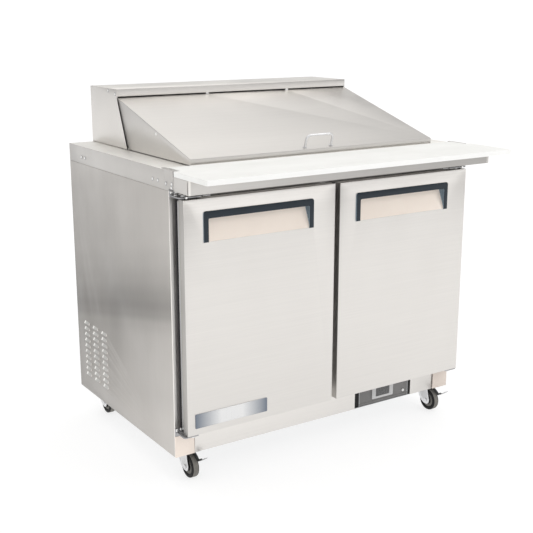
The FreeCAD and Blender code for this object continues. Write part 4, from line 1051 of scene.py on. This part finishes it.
def area_light(name, place, aim, size, power):
    """Soft box at a place, turned to an aim."""
    light = bpy.data.lights.new(name, "AREA")
    light.shape = "RECTANGLE"
    light.size, light.size_y = size
    light.energy = power
    lamp = bpy.data.objects.new(name, light)
    bpy.context.scene.collection.objects.link(lamp)
    lamp.location = place
    lamp.rotation_euler = (Vector(aim) - Vector(place)).to_track_quat("-Z", "Y").to_euler()
    return lamp


def stage_plane(name, corners, material):
    """Flat stage piece through four corners."""
    bm = bmesh.new()
    bm.faces.new([bm.verts.new(corner) for corner in corners])
    mesh = bpy.data.meshes.new(name)
    bm.to_mesh(mesh)
    bm.free()
    mesh.materials.append(material)
    plane = bpy.data.objects.new(name, mesh)
    bpy.context.scene.collection.objects.link(plane)
    return plane


def upright_sheet(start, end, foot, top):
    """Corners of an upright rectangle between two places on the floor."""
    return [(*start, foot), (*end, foot), (*end, top), (*start, top)]


def build_world():
    """Even surroundings, bright overhead and darker further down."""
    world = bpy.data.worlds.new("studio")
    world.use_nodes = True
    nodes, links = world.node_tree.nodes, world.node_tree.links
    direction = nodes.new("ShaderNodeTexCoord").outputs["Generated"]
    parts = nodes.new("ShaderNodeSeparateXYZ")
    spread = nodes.new("ShaderNodeMapRange")
    spread.inputs["To Min"].default_value = SKY_LOW
    spread.inputs["To Max"].default_value = SKY_HIGH
    links.new(direction, parts.inputs[0])
    links.new(parts.outputs["Z"], spread.inputs["Value"])
    links.new(spread.outputs["Result"], nodes["Background"].inputs["Strength"])
    nodes["Background"].inputs["Color"].default_value = (1.0, 0.995, 0.985, 1.0)
    bpy.context.scene.world = world


def build_stage():
    """Pale floor, a low white ring, a backdrop for the camera alone and a grey card for the steel alone."""
    reach = STAGE_REACH
    corners = [(-reach, -reach), (reach, -reach), (reach, reach), (-reach, reach)]
    floor_paint = stage_paint("floor_paint", FLOOR_PAINT, FLOOR_GLOW)
    stage_plane("floor", [(*corner, 0) for corner in corners], floor_paint)
    white = stage_paint("ring_paint", RING_PAINT, RING_GLOW)
    for i, (start, end) in enumerate(zip(corners, corners[1:] + corners[:1])):
        stage_plane(f"ring_{i}", upright_sheet(start, end, 0, RING_TOP), white)
        backdrop = stage_plane(f"backdrop_{i}", upright_sheet(start, end, RING_TOP, BACKDROP_TOP), white)
        backdrop.visible_diffuse = backdrop.visible_glossy = backdrop.visible_shadow = False
    on_floor = [(*corner, CARD_UP) for corner in GREY_CARD]
    card = stage_plane("grey_card", on_floor, stage_paint("card_paint", CARD_PAINT, 0.0))
    card.visible_camera = card.visible_diffuse = card.visible_shadow = False


def build_studio():
    """World, stage, a soft box and the camera."""
    scene = bpy.context.scene
    scene.view_settings.view_transform = "Standard"
    build_world()
    build_stage()
    area_light("key", KEY_PLACE, KEY_AIM, KEY_SIZE, KEY_POWER)

    camera = bpy.data.objects.new("camera", bpy.data.cameras.new("camera"))
    scene.collection.objects.link(camera)
    camera.data.lens = LENS_MM
    camera.data.sensor_width = SENSOR_MM
    forward = CAMERA_FORWARD.normalized()
    right = (CAMERA_RIGHT - forward * CAMERA_RIGHT.dot(forward)).normalized()
    turn = Matrix((right, right.cross(forward), -forward)).transposed().to_4x4()
    camera.matrix_world = Matrix.Translation(CAMERA_PLACE) @ turn
    scene.camera = camera


for node, piece in NODES.items():
    paint(piece, LOOK_OF_SLOT[SLOT_OF[node]])
paint(NODES["lid_handle"], "plated")
build_pieces()
build_studio()
